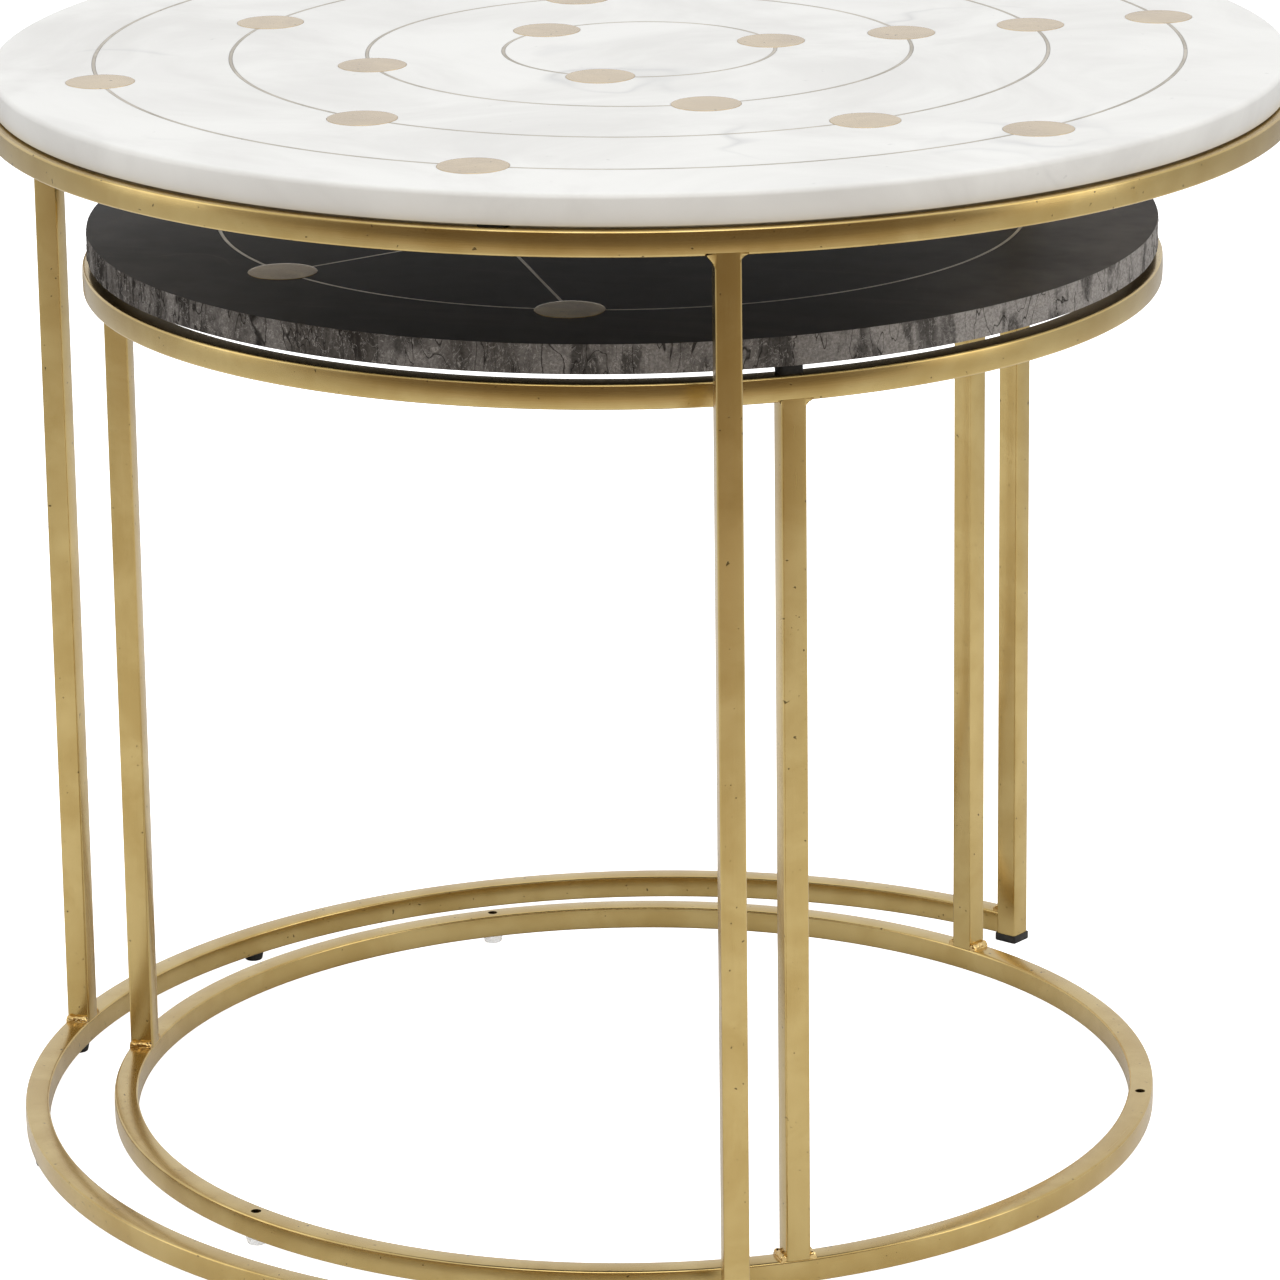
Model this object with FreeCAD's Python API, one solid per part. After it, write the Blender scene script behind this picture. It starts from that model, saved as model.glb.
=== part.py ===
"""A nest of two round side tables: stone tops inlaid with brass, on square-tube brass frames.

The outer table's base is an open arc, so the inner table slides in and out along +X.
Millimetres. The origin is on the floor under the centre of the outer table, and +Z is up.
"""
import FreeCAD, Part
import math
import os

V = FreeCAD.Vector
UP = V(0, 0, 1)

# Overall sizes of the outer table.
outer_top_radius = 300.0
outer_height = 522.0

# Square tube of both frames.
tube_width = 11.5
tube_wall = 1.5
tube_corner = 1.0
bore_corner = 0.5

# Stone tops and the pads that they rest on.
outer_slab_thickness = 14.0
outer_slab_round = 2.5
outer_pad_thickness = 1.0
outer_pad_length = 13.0
outer_pad_angle = -86.0
outer_ring_reveal = 3.5
inner_slab_thickness = 13.4
inner_slab_round = 0.6
inner_pad_thickness = 3.9
inner_pad_length = 11.0
inner_ring_reveal = 2.0
slab_underside_round = 0.6
pad_inset = 0.5
pad_width = 8.5

# How the inner table nests in the outer one.
nest_gap = 40.0
shelf_gap = 51.5
passing_clearance = 14.4
inner_setback = 9.4
inner_turn = 3.2

# Where the legs stand round each frame, apart from the two beside the mouth.
outer_rear_angle = 178.8
inner_leg_angles = (181.5, 58.7, -59.9)

# Brass inlay, set flush in grooves and pockets.
inlay_depth = 3.0
inlay_clearance = 0.05
strip_width = 1.5
disc_radius = 15.75
outer_inlay_margin = 48.0
outer_inlay_start = 29.7
outer_inlay_discs = (3, 4, 5, 6)
inner_inlay_margin = 62.0
inner_disc_angles = (-131.4, -84.0)
inner_core_radius = 71.0

# Glides under the bases, and plugs in the two leg ends that reach the floor.
glide_height = 4.0
glide_inset = 0.5
glide_taper = 0.8
glide_pin_radius = 2.3
glide_pin_clearance = 0.1
glide_pin_length = 5.0
outer_glide_angles = (150.0, 180.0, 210.0)
inner_glide_angles = (120.3, 238.0, 4.9)
plug_lip = 0.6
plug_shank_length = 14.0
plug_clearance = 0.1

# Fillet welds and the vent holes inside the welded joints.
top_weld_run = 3.0
top_weld_drop = 5.0
base_weld_run = 2.6
base_weld_rise = 2.6
weld_hollow = 0.25
vent_radius = 2.0

# Worked out from the values above.
half_tube = tube_width / 2
outer_frame_radius = outer_top_radius + outer_ring_reveal
inner_frame_radius = outer_frame_radius - tube_width - nest_gap
inner_top_radius = inner_frame_radius - inner_ring_reveal
base_top = glide_height + tube_width
outer_ring_bottom = outer_height - outer_slab_thickness - outer_pad_thickness - tube_width
inner_height = outer_ring_bottom - shelf_gap
inner_ring_bottom = inner_height - inner_slab_thickness - inner_pad_thickness - tube_width
inner_place = V(-inner_setback, 0, 0)


def mouth_leg_angle():
    """Angle of the two legs beside the mouth, so that the inner frame passes between them."""
    inner_face = outer_frame_radius - tube_width
    half_mouth = inner_frame_radius + passing_clearance
    lean = math.atan2(half_tube, inner_face)
    return math.degrees(math.asin(half_mouth / math.hypot(inner_face, half_tube)) + lean)


mouth_angle = mouth_leg_angle()


def polar(radius, angle, z=0.0):
    """Point at a radius and an angle in degrees, at height z."""
    return V(radius * math.cos(math.radians(angle)), radius * math.sin(math.radians(angle)), z)


def turned(shape, angle):
    """Copy of a shape turned about the vertical axis by an angle in degrees."""
    copy = shape.copy()
    copy.rotate(V(0, 0, 0), UP, angle)
    return copy


def placed_at(shape, radius, angle):
    """Copy of a shape moved out along X to a radius, then turned to an angle."""
    copy = shape.copy()
    copy.translate(V(radius, 0, 0))
    return turned(copy, angle)


def disc(radius, z, height, centre=V(0, 0, 0)):
    """Upright cylinder of a height, standing at z on a centre."""
    return Part.makeCylinder(radius, height, V(centre.x, centre.y, z))


def rounded_square(width, corner):
    """Square wire with rounded corners in the XY plane, centred on the origin."""
    half = width / 2
    flat = half - corner
    bulge = flat + corner * math.cos(math.radians(45))
    edges = []
    for quarter in range(4):
        turn = FreeCAD.Rotation(UP, 90 * quarter)
        start, bend, middle, end = (
            turn.multVec(point)
            for point in (V(half, -flat, 0), V(half, flat, 0), V(bulge, bulge, 0), V(flat, half, 0))
        )
        edges.append(Part.makeLine(start, bend))
        edges.append(Part.Arc(bend, middle, end).toShape())
    return Part.Wire(edges)


def tube_section():
    """Hollow square section of the frame tube in the XY plane."""
    outside = Part.Face(rounded_square(tube_width, tube_corner))
    bore = Part.Face(rounded_square(tube_width - 2 * tube_wall, bore_corner))
    return outside.cut(bore).Faces[0]


def tube_ring(frame_radius, bottom):
    """Full ring of frame tube with its outer face at a radius and its underside at a height."""
    section = tube_section()
    section.rotate(V(0, 0, 0), V(1, 0, 0), 90)
    section.translate(V(frame_radius - half_tube, 0, bottom + half_tube))
    return section.revolve(V(0, 0, 0), UP, 360)


def leg(frame_radius, angle, bottom, top):
    """Upright tube, faces square to the ring, from a lower to an upper height."""
    tube = tube_section().extrude(V(0, 0, top - bottom))
    tube.translate(V(0, 0, bottom))
    return placed_at(tube, frame_radius - half_tube, angle)


def vented(ring, frame_radius, wall_bottom, angles):
    """Ring with a vent hole through one wall under or over each leg's bore."""
    holes = [disc(vent_radius, wall_bottom - 1, tube_wall + 2, polar(frame_radius - half_tube, angle))
             for angle in angles]
    return ring.cut(holes)


def fillet_weld(run, rise):
    """Hollow-faced fillet weld in the corner of the +Y face and a floor at z = 0."""
    width = tube_width - 2 * tube_corner
    corner, low, high = V(0, 0, 0), V(0, run, 0), V(0, 0, rise)
    middle = V(0, run * (0.5 - weld_hollow / 2), rise * (0.5 - weld_hollow / 2))
    hollow = Part.Arc(low, middle, high).toShape()
    outline = [Part.makeLine(corner, low), hollow, Part.makeLine(high, corner)]
    face = Part.Face(Part.Wire(outline))
    face.translate(V(-width / 2, half_tube, 0))
    return face.extrude(V(width, 0, 0))


def weld_pair(frame_radius, angle, z, run, rise):
    """Two welds on the sideways faces of a leg; a negative rise hangs them from z."""
    bead = fillet_weld(run, rise)
    bead.translate(V(0, 0, z))
    other = bead.mirror(V(0, 0, 0), V(0, 1, 0))
    return [placed_at(piece, frame_radius - half_tube, angle) for piece in (bead, other)]


def pad(slab_radius, slab_round, frame_radius, bottom, thickness, length, angle):
    """Soft pad on a top ring, just inside the edge of the slab that it carries."""
    outer_edge = min(slab_radius - slab_round, frame_radius - tube_corner) - pad_inset
    block = Part.makeBox(pad_width, length, thickness, V(-pad_width, -length / 2, bottom))
    block = block.makeFillet(pad_width / 4, [edge for edge in block.Edges if is_upright(edge)])
    return placed_at(block, outer_edge, angle)


def is_upright(edge):
    """Whether an edge runs straight up."""
    start, end = (vertex.Point for vertex in edge.Vertexes)
    return abs(abs((end - start).normalize().z) - 1) < 1e-6


def rim_edges(solid, radius, z):
    """The round edges of a solid at a radius and a height."""
    return [edge for edge in solid.Edges
            if isinstance(edge.Curve, Part.Circle)
            and abs(edge.Curve.Radius - radius) < 1e-6
            and abs(edge.Curve.Center.z - z) < 1e-6]


def blank_slab(radius, top, thickness, top_round):
    """Round stone slab with an eased upper and lower edge, before it is cut for the inlay."""
    slab = disc(radius, top - thickness, thickness)
    slab = slab.makeFillet(top_round, rim_edges(slab, radius, top))
    return slab.makeFillet(slab_underside_round, rim_edges(slab, radius, top - thickness))


def annulus(radius, width, z, height):
    """Flat round strip of a width centred on a radius."""
    return disc(radius + width / 2, z, height).cut(disc(radius - width / 2, z, height))


def straight_strip(start, end, width, z, height):
    """Flat straight strip of a width between two points."""
    along = end - start
    strip = Part.makeBox(along.Length, width, height, V(0, -width / 2, z))
    strip.rotate(V(0, 0, 0), UP, math.degrees(math.atan2(along.y, along.x)))
    strip.translate(V(start.x, start.y, 0))
    return strip


def inlay(slab_top, centres, strips):
    """Discs, strips cut back from them, and the pockets and grooves for both.

    Each entry of strips is a function of a width, a base height and a height.
    """
    base = slab_top - inlay_depth
    discs = [disc(disc_radius, base, inlay_depth, centre) for centre in centres]
    pockets = [disc(disc_radius + inlay_clearance, base, inlay_depth + 1, centre) for centre in centres]
    bands = [band(strip_width, base, inlay_depth) for band in strips]
    grooves = [band(strip_width + 2 * inlay_clearance, base, inlay_depth + 1) for band in strips]
    pieces = []
    for band in bands:
        pieces.extend(band.cut(pockets).Solids)
    return discs, pieces, pockets + grooves


def outer_inlay():
    """Concentric rings of the outer top, each with one disc more than the ring inside it."""
    spacing = (outer_top_radius - outer_inlay_margin) / len(outer_inlay_discs)
    rings = []
    for number, count in enumerate(outer_inlay_discs, start=1):
        radius = spacing * number
        centres = [polar(radius, outer_inlay_start + 360.0 * step / count) for step in range(count)]
        strip = lambda width, z, height, radius=radius: annulus(radius, width, z, height)
        rings.append(inlay(outer_height, centres, [strip]))
    return rings


def inner_inlay():
    """One circle of the inner top, and straight lines from its discs to two core discs."""
    circle_radius = inner_top_radius - inner_inlay_margin
    rim = [polar(circle_radius, angle + half_turn) for half_turn in (0, 180) for angle in inner_disc_angles]
    core = [polar(inner_core_radius, inner_disc_angles[0] + half_turn) for half_turn in (0, 180)]
    circle = lambda width, z, height: annulus(circle_radius, width, z, height)
    ends = [(rim[0], core[0]), (core[0], core[1]), (core[1], rim[2]), (rim[1], core[0]), (rim[3], core[1])]
    lines = [lambda width, z, height, pair=pair: straight_strip(*pair, width, z, height) for pair in ends]
    rim_discs, arcs, circle_cuts = inlay(inner_height, rim, [circle])
    all_discs, strips, line_cuts = inlay(inner_height, rim + core, lines)
    return rim_discs, all_discs[len(rim):], arcs, strips, circle_cuts + line_cuts


def glide(angle, frame_radius):
    """Round foot with a pin that stands in a hole of the base tube."""
    radius = half_tube - glide_inset
    foot = Part.makeCone(radius - glide_taper, radius, glide_height)
    pin = disc(glide_pin_radius, 0, glide_height + glide_pin_length)
    return placed_at(foot.fuse(pin).removeSplitter(), frame_radius - half_tube, angle)


def pin_hole(angle, frame_radius, top):
    """Hole for a glide's pin, from under the base tube up to a height."""
    centre = polar(frame_radius - half_tube, angle)
    return disc(glide_pin_radius + glide_pin_clearance, glide_height - 1, top - glide_height + 1, centre)


def leg_plug(angle):
    """Square end plug: a foot under the tube and a shank up its bore."""
    foot_width = tube_width + 2 * plug_lip
    foot = Part.Face(rounded_square(foot_width, tube_corner)).extrude(V(0, 0, glide_height))
    shank_width = tube_width - 2 * tube_wall - 2 * plug_clearance
    shank = Part.Face(rounded_square(shank_width, bore_corner)).extrude(V(0, 0, plug_shank_length))
    shank.translate(V(0, 0, glide_height))
    return placed_at(foot.fuse(shank), outer_frame_radius - half_tube, angle)


def outer_base():
    """Base arc: a ring with its mouth cut out between and through the two mouth legs."""
    reach = 2 * outer_frame_radius
    mouth = Part.makeCylinder(reach, tube_width + 2, V(0, 0, glide_height - 1), UP, 2 * mouth_angle)
    cutters = [turned(mouth, -mouth_angle)]
    for angle in (mouth_angle, -mouth_angle):
        block = Part.makeBox(reach, tube_width, tube_width + 2, V(0, -half_tube, glide_height - 1))
        cutters.append(turned(block, angle))
    inner_wall = glide_height + tube_wall + 1
    holes = [pin_hole(angle, outer_frame_radius, inner_wall) for angle in outer_glide_angles]
    arc = tube_ring(outer_frame_radius, glide_height).cut(cutters + holes)
    return vented(arc, outer_frame_radius, base_top - tube_wall, [outer_rear_angle])


def outer_table():
    """Nodes of the outer table."""
    mouth_legs = (mouth_angle, -mouth_angle)
    leg_angles = (outer_rear_angle,) + mouth_legs
    ring = vented(tube_ring(outer_frame_radius, outer_ring_bottom),
                  outer_frame_radius, outer_ring_bottom, leg_angles)
    nodes = {
        "outer_top_ring": [ring],
        "outer_rear_leg": [leg(outer_frame_radius, outer_rear_angle, base_top, outer_ring_bottom)],
        "outer_left_leg": [leg(outer_frame_radius, mouth_angle, glide_height, outer_ring_bottom)],
        "outer_right_leg": [leg(outer_frame_radius, -mouth_angle, glide_height, outer_ring_bottom)],
        "outer_base_arc": [outer_base()],
    }
    nodes["outer_top_welds"] = []
    for angle in leg_angles:
        nodes["outer_top_welds"] += weld_pair(
            outer_frame_radius, angle, outer_ring_bottom, top_weld_run, -top_weld_drop)
    rear_welds = weld_pair(outer_frame_radius, outer_rear_angle, base_top, base_weld_run, base_weld_rise)
    side_welds = [weld_pair(outer_frame_radius, angle, base_top, base_weld_run, base_weld_rise)[side]
                  for side, angle in enumerate(mouth_legs)]
    nodes["outer_base_welds"] = rear_welds + side_welds
    nodes["outer_glides"] = [glide(angle, outer_frame_radius) for angle in outer_glide_angles]
    nodes["outer_leg_plugs"] = [leg_plug(angle) for angle in mouth_legs]
    nodes["outer_pads"] = [
        pad(outer_top_radius, slab_underside_round, outer_frame_radius, outer_ring_bottom + tube_width,
            outer_pad_thickness, outer_pad_length, outer_pad_angle + step)
        for step in (0, 120, 240)]
    slab = blank_slab(outer_top_radius, outer_height, outer_slab_thickness, outer_slab_round)
    for number, (discs, arcs, cuts) in enumerate(outer_inlay(), start=1):
        slab = slab.cut(cuts)
        nodes[f"outer_inlay_ring_{number}"] = arcs
        nodes[f"outer_inlay_discs_{number}"] = discs
    nodes["outer_slab"] = [slab]
    return nodes


def inner_table():
    """Nodes of the inner table, in its nested place."""
    ring = vented(tube_ring(inner_frame_radius, inner_ring_bottom),
                  inner_frame_radius, inner_ring_bottom, inner_leg_angles)
    holes = [pin_hole(angle, inner_frame_radius, base_top + 1) for angle in inner_glide_angles]
    base = vented(tube_ring(inner_frame_radius, glide_height).cut(holes),
                  inner_frame_radius, base_top - tube_wall, inner_leg_angles)
    nodes = {"inner_top_ring": [ring], "inner_base_ring": [base]}
    for name, angle in zip(("rear", "left", "right"), inner_leg_angles):
        nodes[f"inner_{name}_leg"] = [leg(inner_frame_radius, angle, base_top, inner_ring_bottom)]
    nodes["inner_top_welds"] = []
    nodes["inner_base_welds"] = []
    for angle in inner_leg_angles:
        nodes["inner_top_welds"] += weld_pair(
            inner_frame_radius, angle, inner_ring_bottom, top_weld_run, -top_weld_drop)
        nodes["inner_base_welds"] += weld_pair(
            inner_frame_radius, angle, base_top, base_weld_run, base_weld_rise)
    nodes["inner_glides"] = [glide(angle, inner_frame_radius) for angle in inner_glide_angles]
    nodes["inner_pads"] = [
        pad(inner_top_radius, slab_underside_round, inner_frame_radius, inner_ring_bottom + tube_width,
            inner_pad_thickness, inner_pad_length, angle)
        for angle in inner_leg_angles]
    rim_discs, core_discs, arcs, lines, cuts = inner_inlay()
    slab = blank_slab(inner_top_radius, inner_height, inner_slab_thickness, inner_slab_round)
    nodes["inner_slab"] = [slab.cut(cuts)]
    nodes["inner_inlay_circle"] = arcs
    nodes["inner_inlay_lines"] = lines
    nodes["inner_rim_discs"] = rim_discs
    nodes["inner_core_discs"] = core_discs
    return {name: [nested(solid) for solid in solids] for name, solids in nodes.items()}


def nested(shape):
    """Copy of an inner table shape, turned and set back into the outer table."""
    copy = turned(shape, inner_turn)
    copy.translate(inner_place)
    return copy


def main():
    """Build both tables and write one STEP file for each node."""
    os.makedirs("parts", exist_ok=True)
    for name, solids in {**outer_table(), **inner_table()}.items():
        pieces = [solid for shape in solids for solid in shape.Solids]
        shape = pieces[0] if len(pieces) == 1 else Part.makeCompound(pieces)
        shape.exportStep(f"parts/{name}.step")
        print(f"{name}: {len(pieces)} solid(s), {shape.Volume / 1000:.2f} cm3, valid {shape.isValid()}")


if __name__ == "__main__":
    main()
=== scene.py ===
"""Two nesting side tables in a soft studio: inlaid stone tops on frames of square brass tube."""
import logging
import math
from collections.abc import Callable, Iterator
from contextlib import contextmanager
from dataclasses import dataclass, field
from enum import Enum
from typing import Union

import bmesh
import bpy
from mathutils import Matrix, Vector


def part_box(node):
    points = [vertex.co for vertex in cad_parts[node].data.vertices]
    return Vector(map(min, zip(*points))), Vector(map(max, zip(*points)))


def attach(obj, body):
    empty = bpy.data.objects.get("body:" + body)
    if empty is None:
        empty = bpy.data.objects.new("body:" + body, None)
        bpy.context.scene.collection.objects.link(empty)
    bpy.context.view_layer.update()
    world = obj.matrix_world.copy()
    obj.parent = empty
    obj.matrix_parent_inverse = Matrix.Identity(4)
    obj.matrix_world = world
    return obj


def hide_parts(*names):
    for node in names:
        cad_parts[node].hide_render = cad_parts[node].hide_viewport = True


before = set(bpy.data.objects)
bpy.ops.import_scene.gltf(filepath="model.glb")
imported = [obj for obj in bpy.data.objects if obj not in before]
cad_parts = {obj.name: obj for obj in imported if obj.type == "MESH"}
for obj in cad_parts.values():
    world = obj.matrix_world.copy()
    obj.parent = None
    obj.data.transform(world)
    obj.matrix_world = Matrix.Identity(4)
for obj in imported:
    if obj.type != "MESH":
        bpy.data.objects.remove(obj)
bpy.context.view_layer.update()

LOG = logging.getLogger("nesting_tables")

# How far the base arc's ends go into the walls of the legs, and how far from the axes the pads' outer
# edges lie, in metres.
BASE_LET_IN = 0.0008
OUTER_PAD_EDGE = 0.2989
INNER_PAD_EDGE = 0.2489
# Turn of the inner table in the outer one, and of the camera round the tables from the front, in degrees.
INNER_TURN = 3.2
VIEW_ANGLE = 16.2

Socket = bpy.types.NodeSocket
Value = Union[float, tuple, Socket]
Colour = tuple[float, float, float]


def linear(red: int, green: int, blue: int) -> Colour:
    """Linear colour of an sRGB colour given from 0 to 255."""
    shares = [channel / 255 for channel in (red, green, blue)]
    return tuple(s / 12.92 if s <= 0.04045 else ((s + 0.055) / 1.055) ** 2.4 for s in shares)


class Wiring:
    """A node tree that is being wired, of a material, a world or a group."""

    def __init__(self, tree: bpy.types.NodeTree) -> None:
        """Keep the tree."""
        self.tree = tree

    def add(self, kind: str, inputs: dict | None = None, **settings) -> bpy.types.Node:
        """Add a node.

        Args:
            kind: The node's type, without the word ShaderNode.
            inputs: Values or sockets for the node's inputs, by name or number.
            settings: Attributes of the node.

        Returns:
            The new node.
        """
        node = self.tree.nodes.new("ShaderNode" + kind)
        for name, setting in settings.items():
            setattr(node, name, setting)
        for name, value in (inputs or {}).items():
            self.feed(node.inputs[name], value)
        return node

    def feed(self, socket: Socket, value: Value) -> None:
        """Link a socket to an input, or set the input to a constant.

        Args:
            socket: The input.
            value: A socket to link, or a constant to set.
        """
        if isinstance(value, bpy.types.NodeSocket):
            self.tree.links.new(value, socket)
        elif isinstance(value, tuple) and len(value) == 3 and socket.type == "RGBA":
            socket.default_value = (*value, 1.0)
        else:
            socket.default_value = value

    def math(self, operation: str, *values: Value, clamp: bool = False) -> Socket:
        """Result of a Math node on one to three values."""
        node = self.add("Math", dict(enumerate(values)), operation=operation, use_clamp=clamp)
        return node.outputs[0]

    def vector(self, operation: str, *values: Value) -> Socket:
        """Vector that a Vector Math node puts out."""
        return self.add("VectorMath", dict(enumerate(values)), operation=operation).outputs[0]

    def remap(self, value: Value, low: float, high: float, to_low: float = 0.0,
              to_high: float = 1.0) -> Socket:
        """Value smoothly mapped from one range to another, and held at its ends."""
        inputs = {"Value": value, "From Min": low, "From Max": high, "To Min": to_low, "To Max": to_high}
        return self.add("MapRange", inputs, interpolation_type="SMOOTHSTEP").outputs[0]

    def mix(self, share: Value, first: Value, second: Value, blend: str = "MIX") -> Socket:
        """Colour mixed from two, by a share from 0 to 1.

        Args:
            share: Share of the second colour, from 0 to 1.
            first: The first colour.
            second: The second colour.
            blend: The Mix node's blend type.

        Returns:
            The mixed colour.
        """
        node = self.add("Mix", data_type="RGBA", blend_type=blend)
        for number, value in ((0, share), (6, first), (7, second)):
            self.feed(node.inputs[number], value)
        return node.outputs[2]

    def noise(self, vector: Value, scale: float, detail: float = 3.0, roughness: float = 0.5,
              distortion: float = 0.0) -> Socket:
        """Value of a noise texture."""
        inputs = {"Vector": vector, "Scale": scale, "Detail": detail, "Roughness": roughness,
                  "Distortion": distortion}
        return self.add("TexNoise", inputs).outputs[0]


class EffectGroups:
    """Shader node groups that several finishes use, each built once."""

    def __init__(self) -> None:
        """Start with no group built."""
        self._built: dict[str, bpy.types.NodeTree] = {}

    def use(self, wiring: Wiring, name: str, **inputs: Value) -> bpy.types.Node:
        """Place a group in a tree.

        Args:
            wiring: The tree that the group goes into.
            name: Which group: the name of one of this class's builders.
            inputs: Values for the group's inputs, with _ for a space.

        Returns:
            The group node.
        """
        if name not in self._built:
            self._built[name] = getattr(self, "_" + name)()
        node = wiring.add("Group", node_tree=self._built[name])
        for key, value in inputs.items():
            wiring.feed(node.inputs[key.replace("_", " ")], value)
        return node

    @staticmethod
    def _blank(name: str, inputs: dict[str, str], outputs: tuple[str, ...]) -> tuple[Wiring, dict, object]:
        """A new group with its sockets.

        Args:
            name: The group's name.
            inputs: Kind of each input, by name.
            outputs: Names of the outputs, which are all values.

        Returns:
            The wiring, the input sockets by name, and the sockets that the outputs are fed through.
        """
        tree = bpy.data.node_groups.new(name, "ShaderNodeTree")
        for key, kind in inputs.items():
            tree.interface.new_socket(key, in_out="INPUT", socket_type="NodeSocket" + kind)
        for key in outputs:
            tree.interface.new_socket(key, in_out="OUTPUT", socket_type="NodeSocketFloat")
        wiring = Wiring(tree)
        entry = tree.nodes.new("NodeGroupInput")
        leave = tree.nodes.new("NodeGroupOutput")
        sockets = {socket.name: socket for socket in entry.outputs if socket.name}
        return wiring, sockets, leave.inputs

    def _around(self) -> bpy.types.NodeTree:
        """Turn a point into arc length, radius and height about an upright axis.

        Returns:
            The group.
        """
        tree = bpy.data.node_groups.new("around_axis", "ShaderNodeTree")
        tree.interface.new_socket("Point", in_out="INPUT", socket_type="NodeSocketVector")
        tree.interface.new_socket("Radius", in_out="INPUT", socket_type="NodeSocketFloat")
        tree.interface.new_socket("Unrolled", in_out="OUTPUT", socket_type="NodeSocketVector")
        wiring = Wiring(tree)
        entry, leave = tree.nodes.new("NodeGroupInput"), tree.nodes.new("NodeGroupOutput")
        parts = wiring.add("SeparateXYZ", {0: entry.outputs["Point"]}).outputs
        angle = wiring.math("ARCTAN2", parts[1], parts[0])
        arc = wiring.math("MULTIPLY", angle, entry.outputs["Radius"])
        reach = wiring.add("VectorMath", {0: wiring.add("CombineXYZ", {0: parts[0], 1: parts[1]}).outputs[0]},
                           operation="LENGTH").outputs["Value"]
        unrolled = wiring.add("CombineXYZ", {0: arc, 1: reach, 2: parts[2]}).outputs[0]
        wiring.tree.links.new(unrolled, leave.inputs["Unrolled"])
        return tree

    def _brushing(self) -> bpy.types.NodeTree:
        """Fine lines left by an abrasive belt, with a few deeper scratches and pits.

        Returns:
            The group.
        """
        wiring, given, out = self._blank(
            "brushing", {"Point": "Vector", "Stretch": "Vector"}, ("Lines", "Clouds", "Pits", "Height"))
        along = wiring.vector("MULTIPLY", given["Point"], given["Stretch"])
        fine = wiring.noise(along, 2600.0, 2.0, 0.6)
        broad = wiring.noise(along, 700.0, 3.0, 0.55)
        lines = wiring.math("ADD", wiring.math("MULTIPLY", fine, 0.6), wiring.math("MULTIPLY", broad, 0.4))
        clouds = wiring.noise(given["Point"], 26.0, 4.0, 0.6, 0.4)
        pits = wiring.remap(wiring.noise(given["Point"], 420.0, 1.0, 0.4), 0.74, 0.80)
        height = wiring.math("SUBTRACT", lines, wiring.math("MULTIPLY", pits, 2.0))
        for name, socket in (("Lines", lines), ("Clouds", clouds), ("Pits", pits), ("Height", height)):
            wiring.feed(out[name], socket)
        return wiring.tree

    def _veins(self) -> bpy.types.NodeTree:
        """Thin wandering veins, broken up so that they fade in and out.

        Returns:
            The group.
        """
        wiring, given, out = self._blank(
            "veins", {"Point": "Vector", "Size": "Float", "Width": "Float", "Gaps": "Float"}, ("Mask",))
        bent = wiring.add("TexNoise", {"Vector": given["Point"], "Scale": 3.5, "Detail": 4.0}).outputs[1]
        bent = wiring.vector("MULTIPLY", wiring.vector("SUBTRACT", bent, (0.5, 0.5, 0.5)), (0.35, 0.35, 0.35))
        point = wiring.vector("ADD", given["Point"], bent)
        waves = wiring.add("TexNoise", {"Vector": point, "Scale": given["Size"], "Detail": 2.5}).outputs[0]
        ridge = wiring.math("ABSOLUTE", wiring.math("SUBTRACT", waves, 0.5))
        line = wiring.math("SUBTRACT", 1.0, wiring.math("DIVIDE", ridge, given["Width"], clamp=True))
        breaks = wiring.noise(given["Point"], 9.0, 2.0)
        shown = wiring.math("SUBTRACT", breaks, given["Gaps"])
        shown = wiring.math("MULTIPLY", shown, 8.0, clamp=True)
        wiring.feed(out["Mask"], wiring.math("MULTIPLY", wiring.math("POWER", line, 1.6), shown))
        return wiring.tree

    def _specks(self) -> bpy.types.NodeTree:
        """Scattered small specks of uneven size.

        Returns:
            The group.
        """
        wiring, given, out = self._blank(
            "specks", {"Point": "Vector", "Size": "Float", "Amount": "Float"}, ("Mask",))
        inputs = {"Vector": given["Point"], "Scale": given["Size"], "Detail": 2.0}
        grain = wiring.add("TexNoise", inputs).outputs[0]
        edge = wiring.math("SUBTRACT", grain, wiring.math("SUBTRACT", 0.82, given["Amount"]))
        wiring.feed(out["Mask"], wiring.math("MULTIPLY", edge, 22.0, clamp=True))
        return wiring.tree


EFFECTS = EffectGroups()


def new_material(name: str) -> tuple[bpy.types.Material, Wiring, bpy.types.Node, Socket]:
    """A new material.

    Args:
        name: Its name.

    Returns:
        The material, its wiring, its shader node and the object coordinates.
    """
    material = bpy.data.materials.new(name)
    material.use_nodes = True
    wiring = Wiring(material.node_tree)
    shader = material.node_tree.nodes["Principled BSDF"]
    return material, wiring, shader, wiring.add("TexCoord").outputs["Object"]


class Grain(Enum):
    """Which way the brushing of a metal piece runs."""

    UPRIGHT = "along Z"
    ROUND = "round an upright axis"
    FLAT = "straight across a flat piece"


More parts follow.
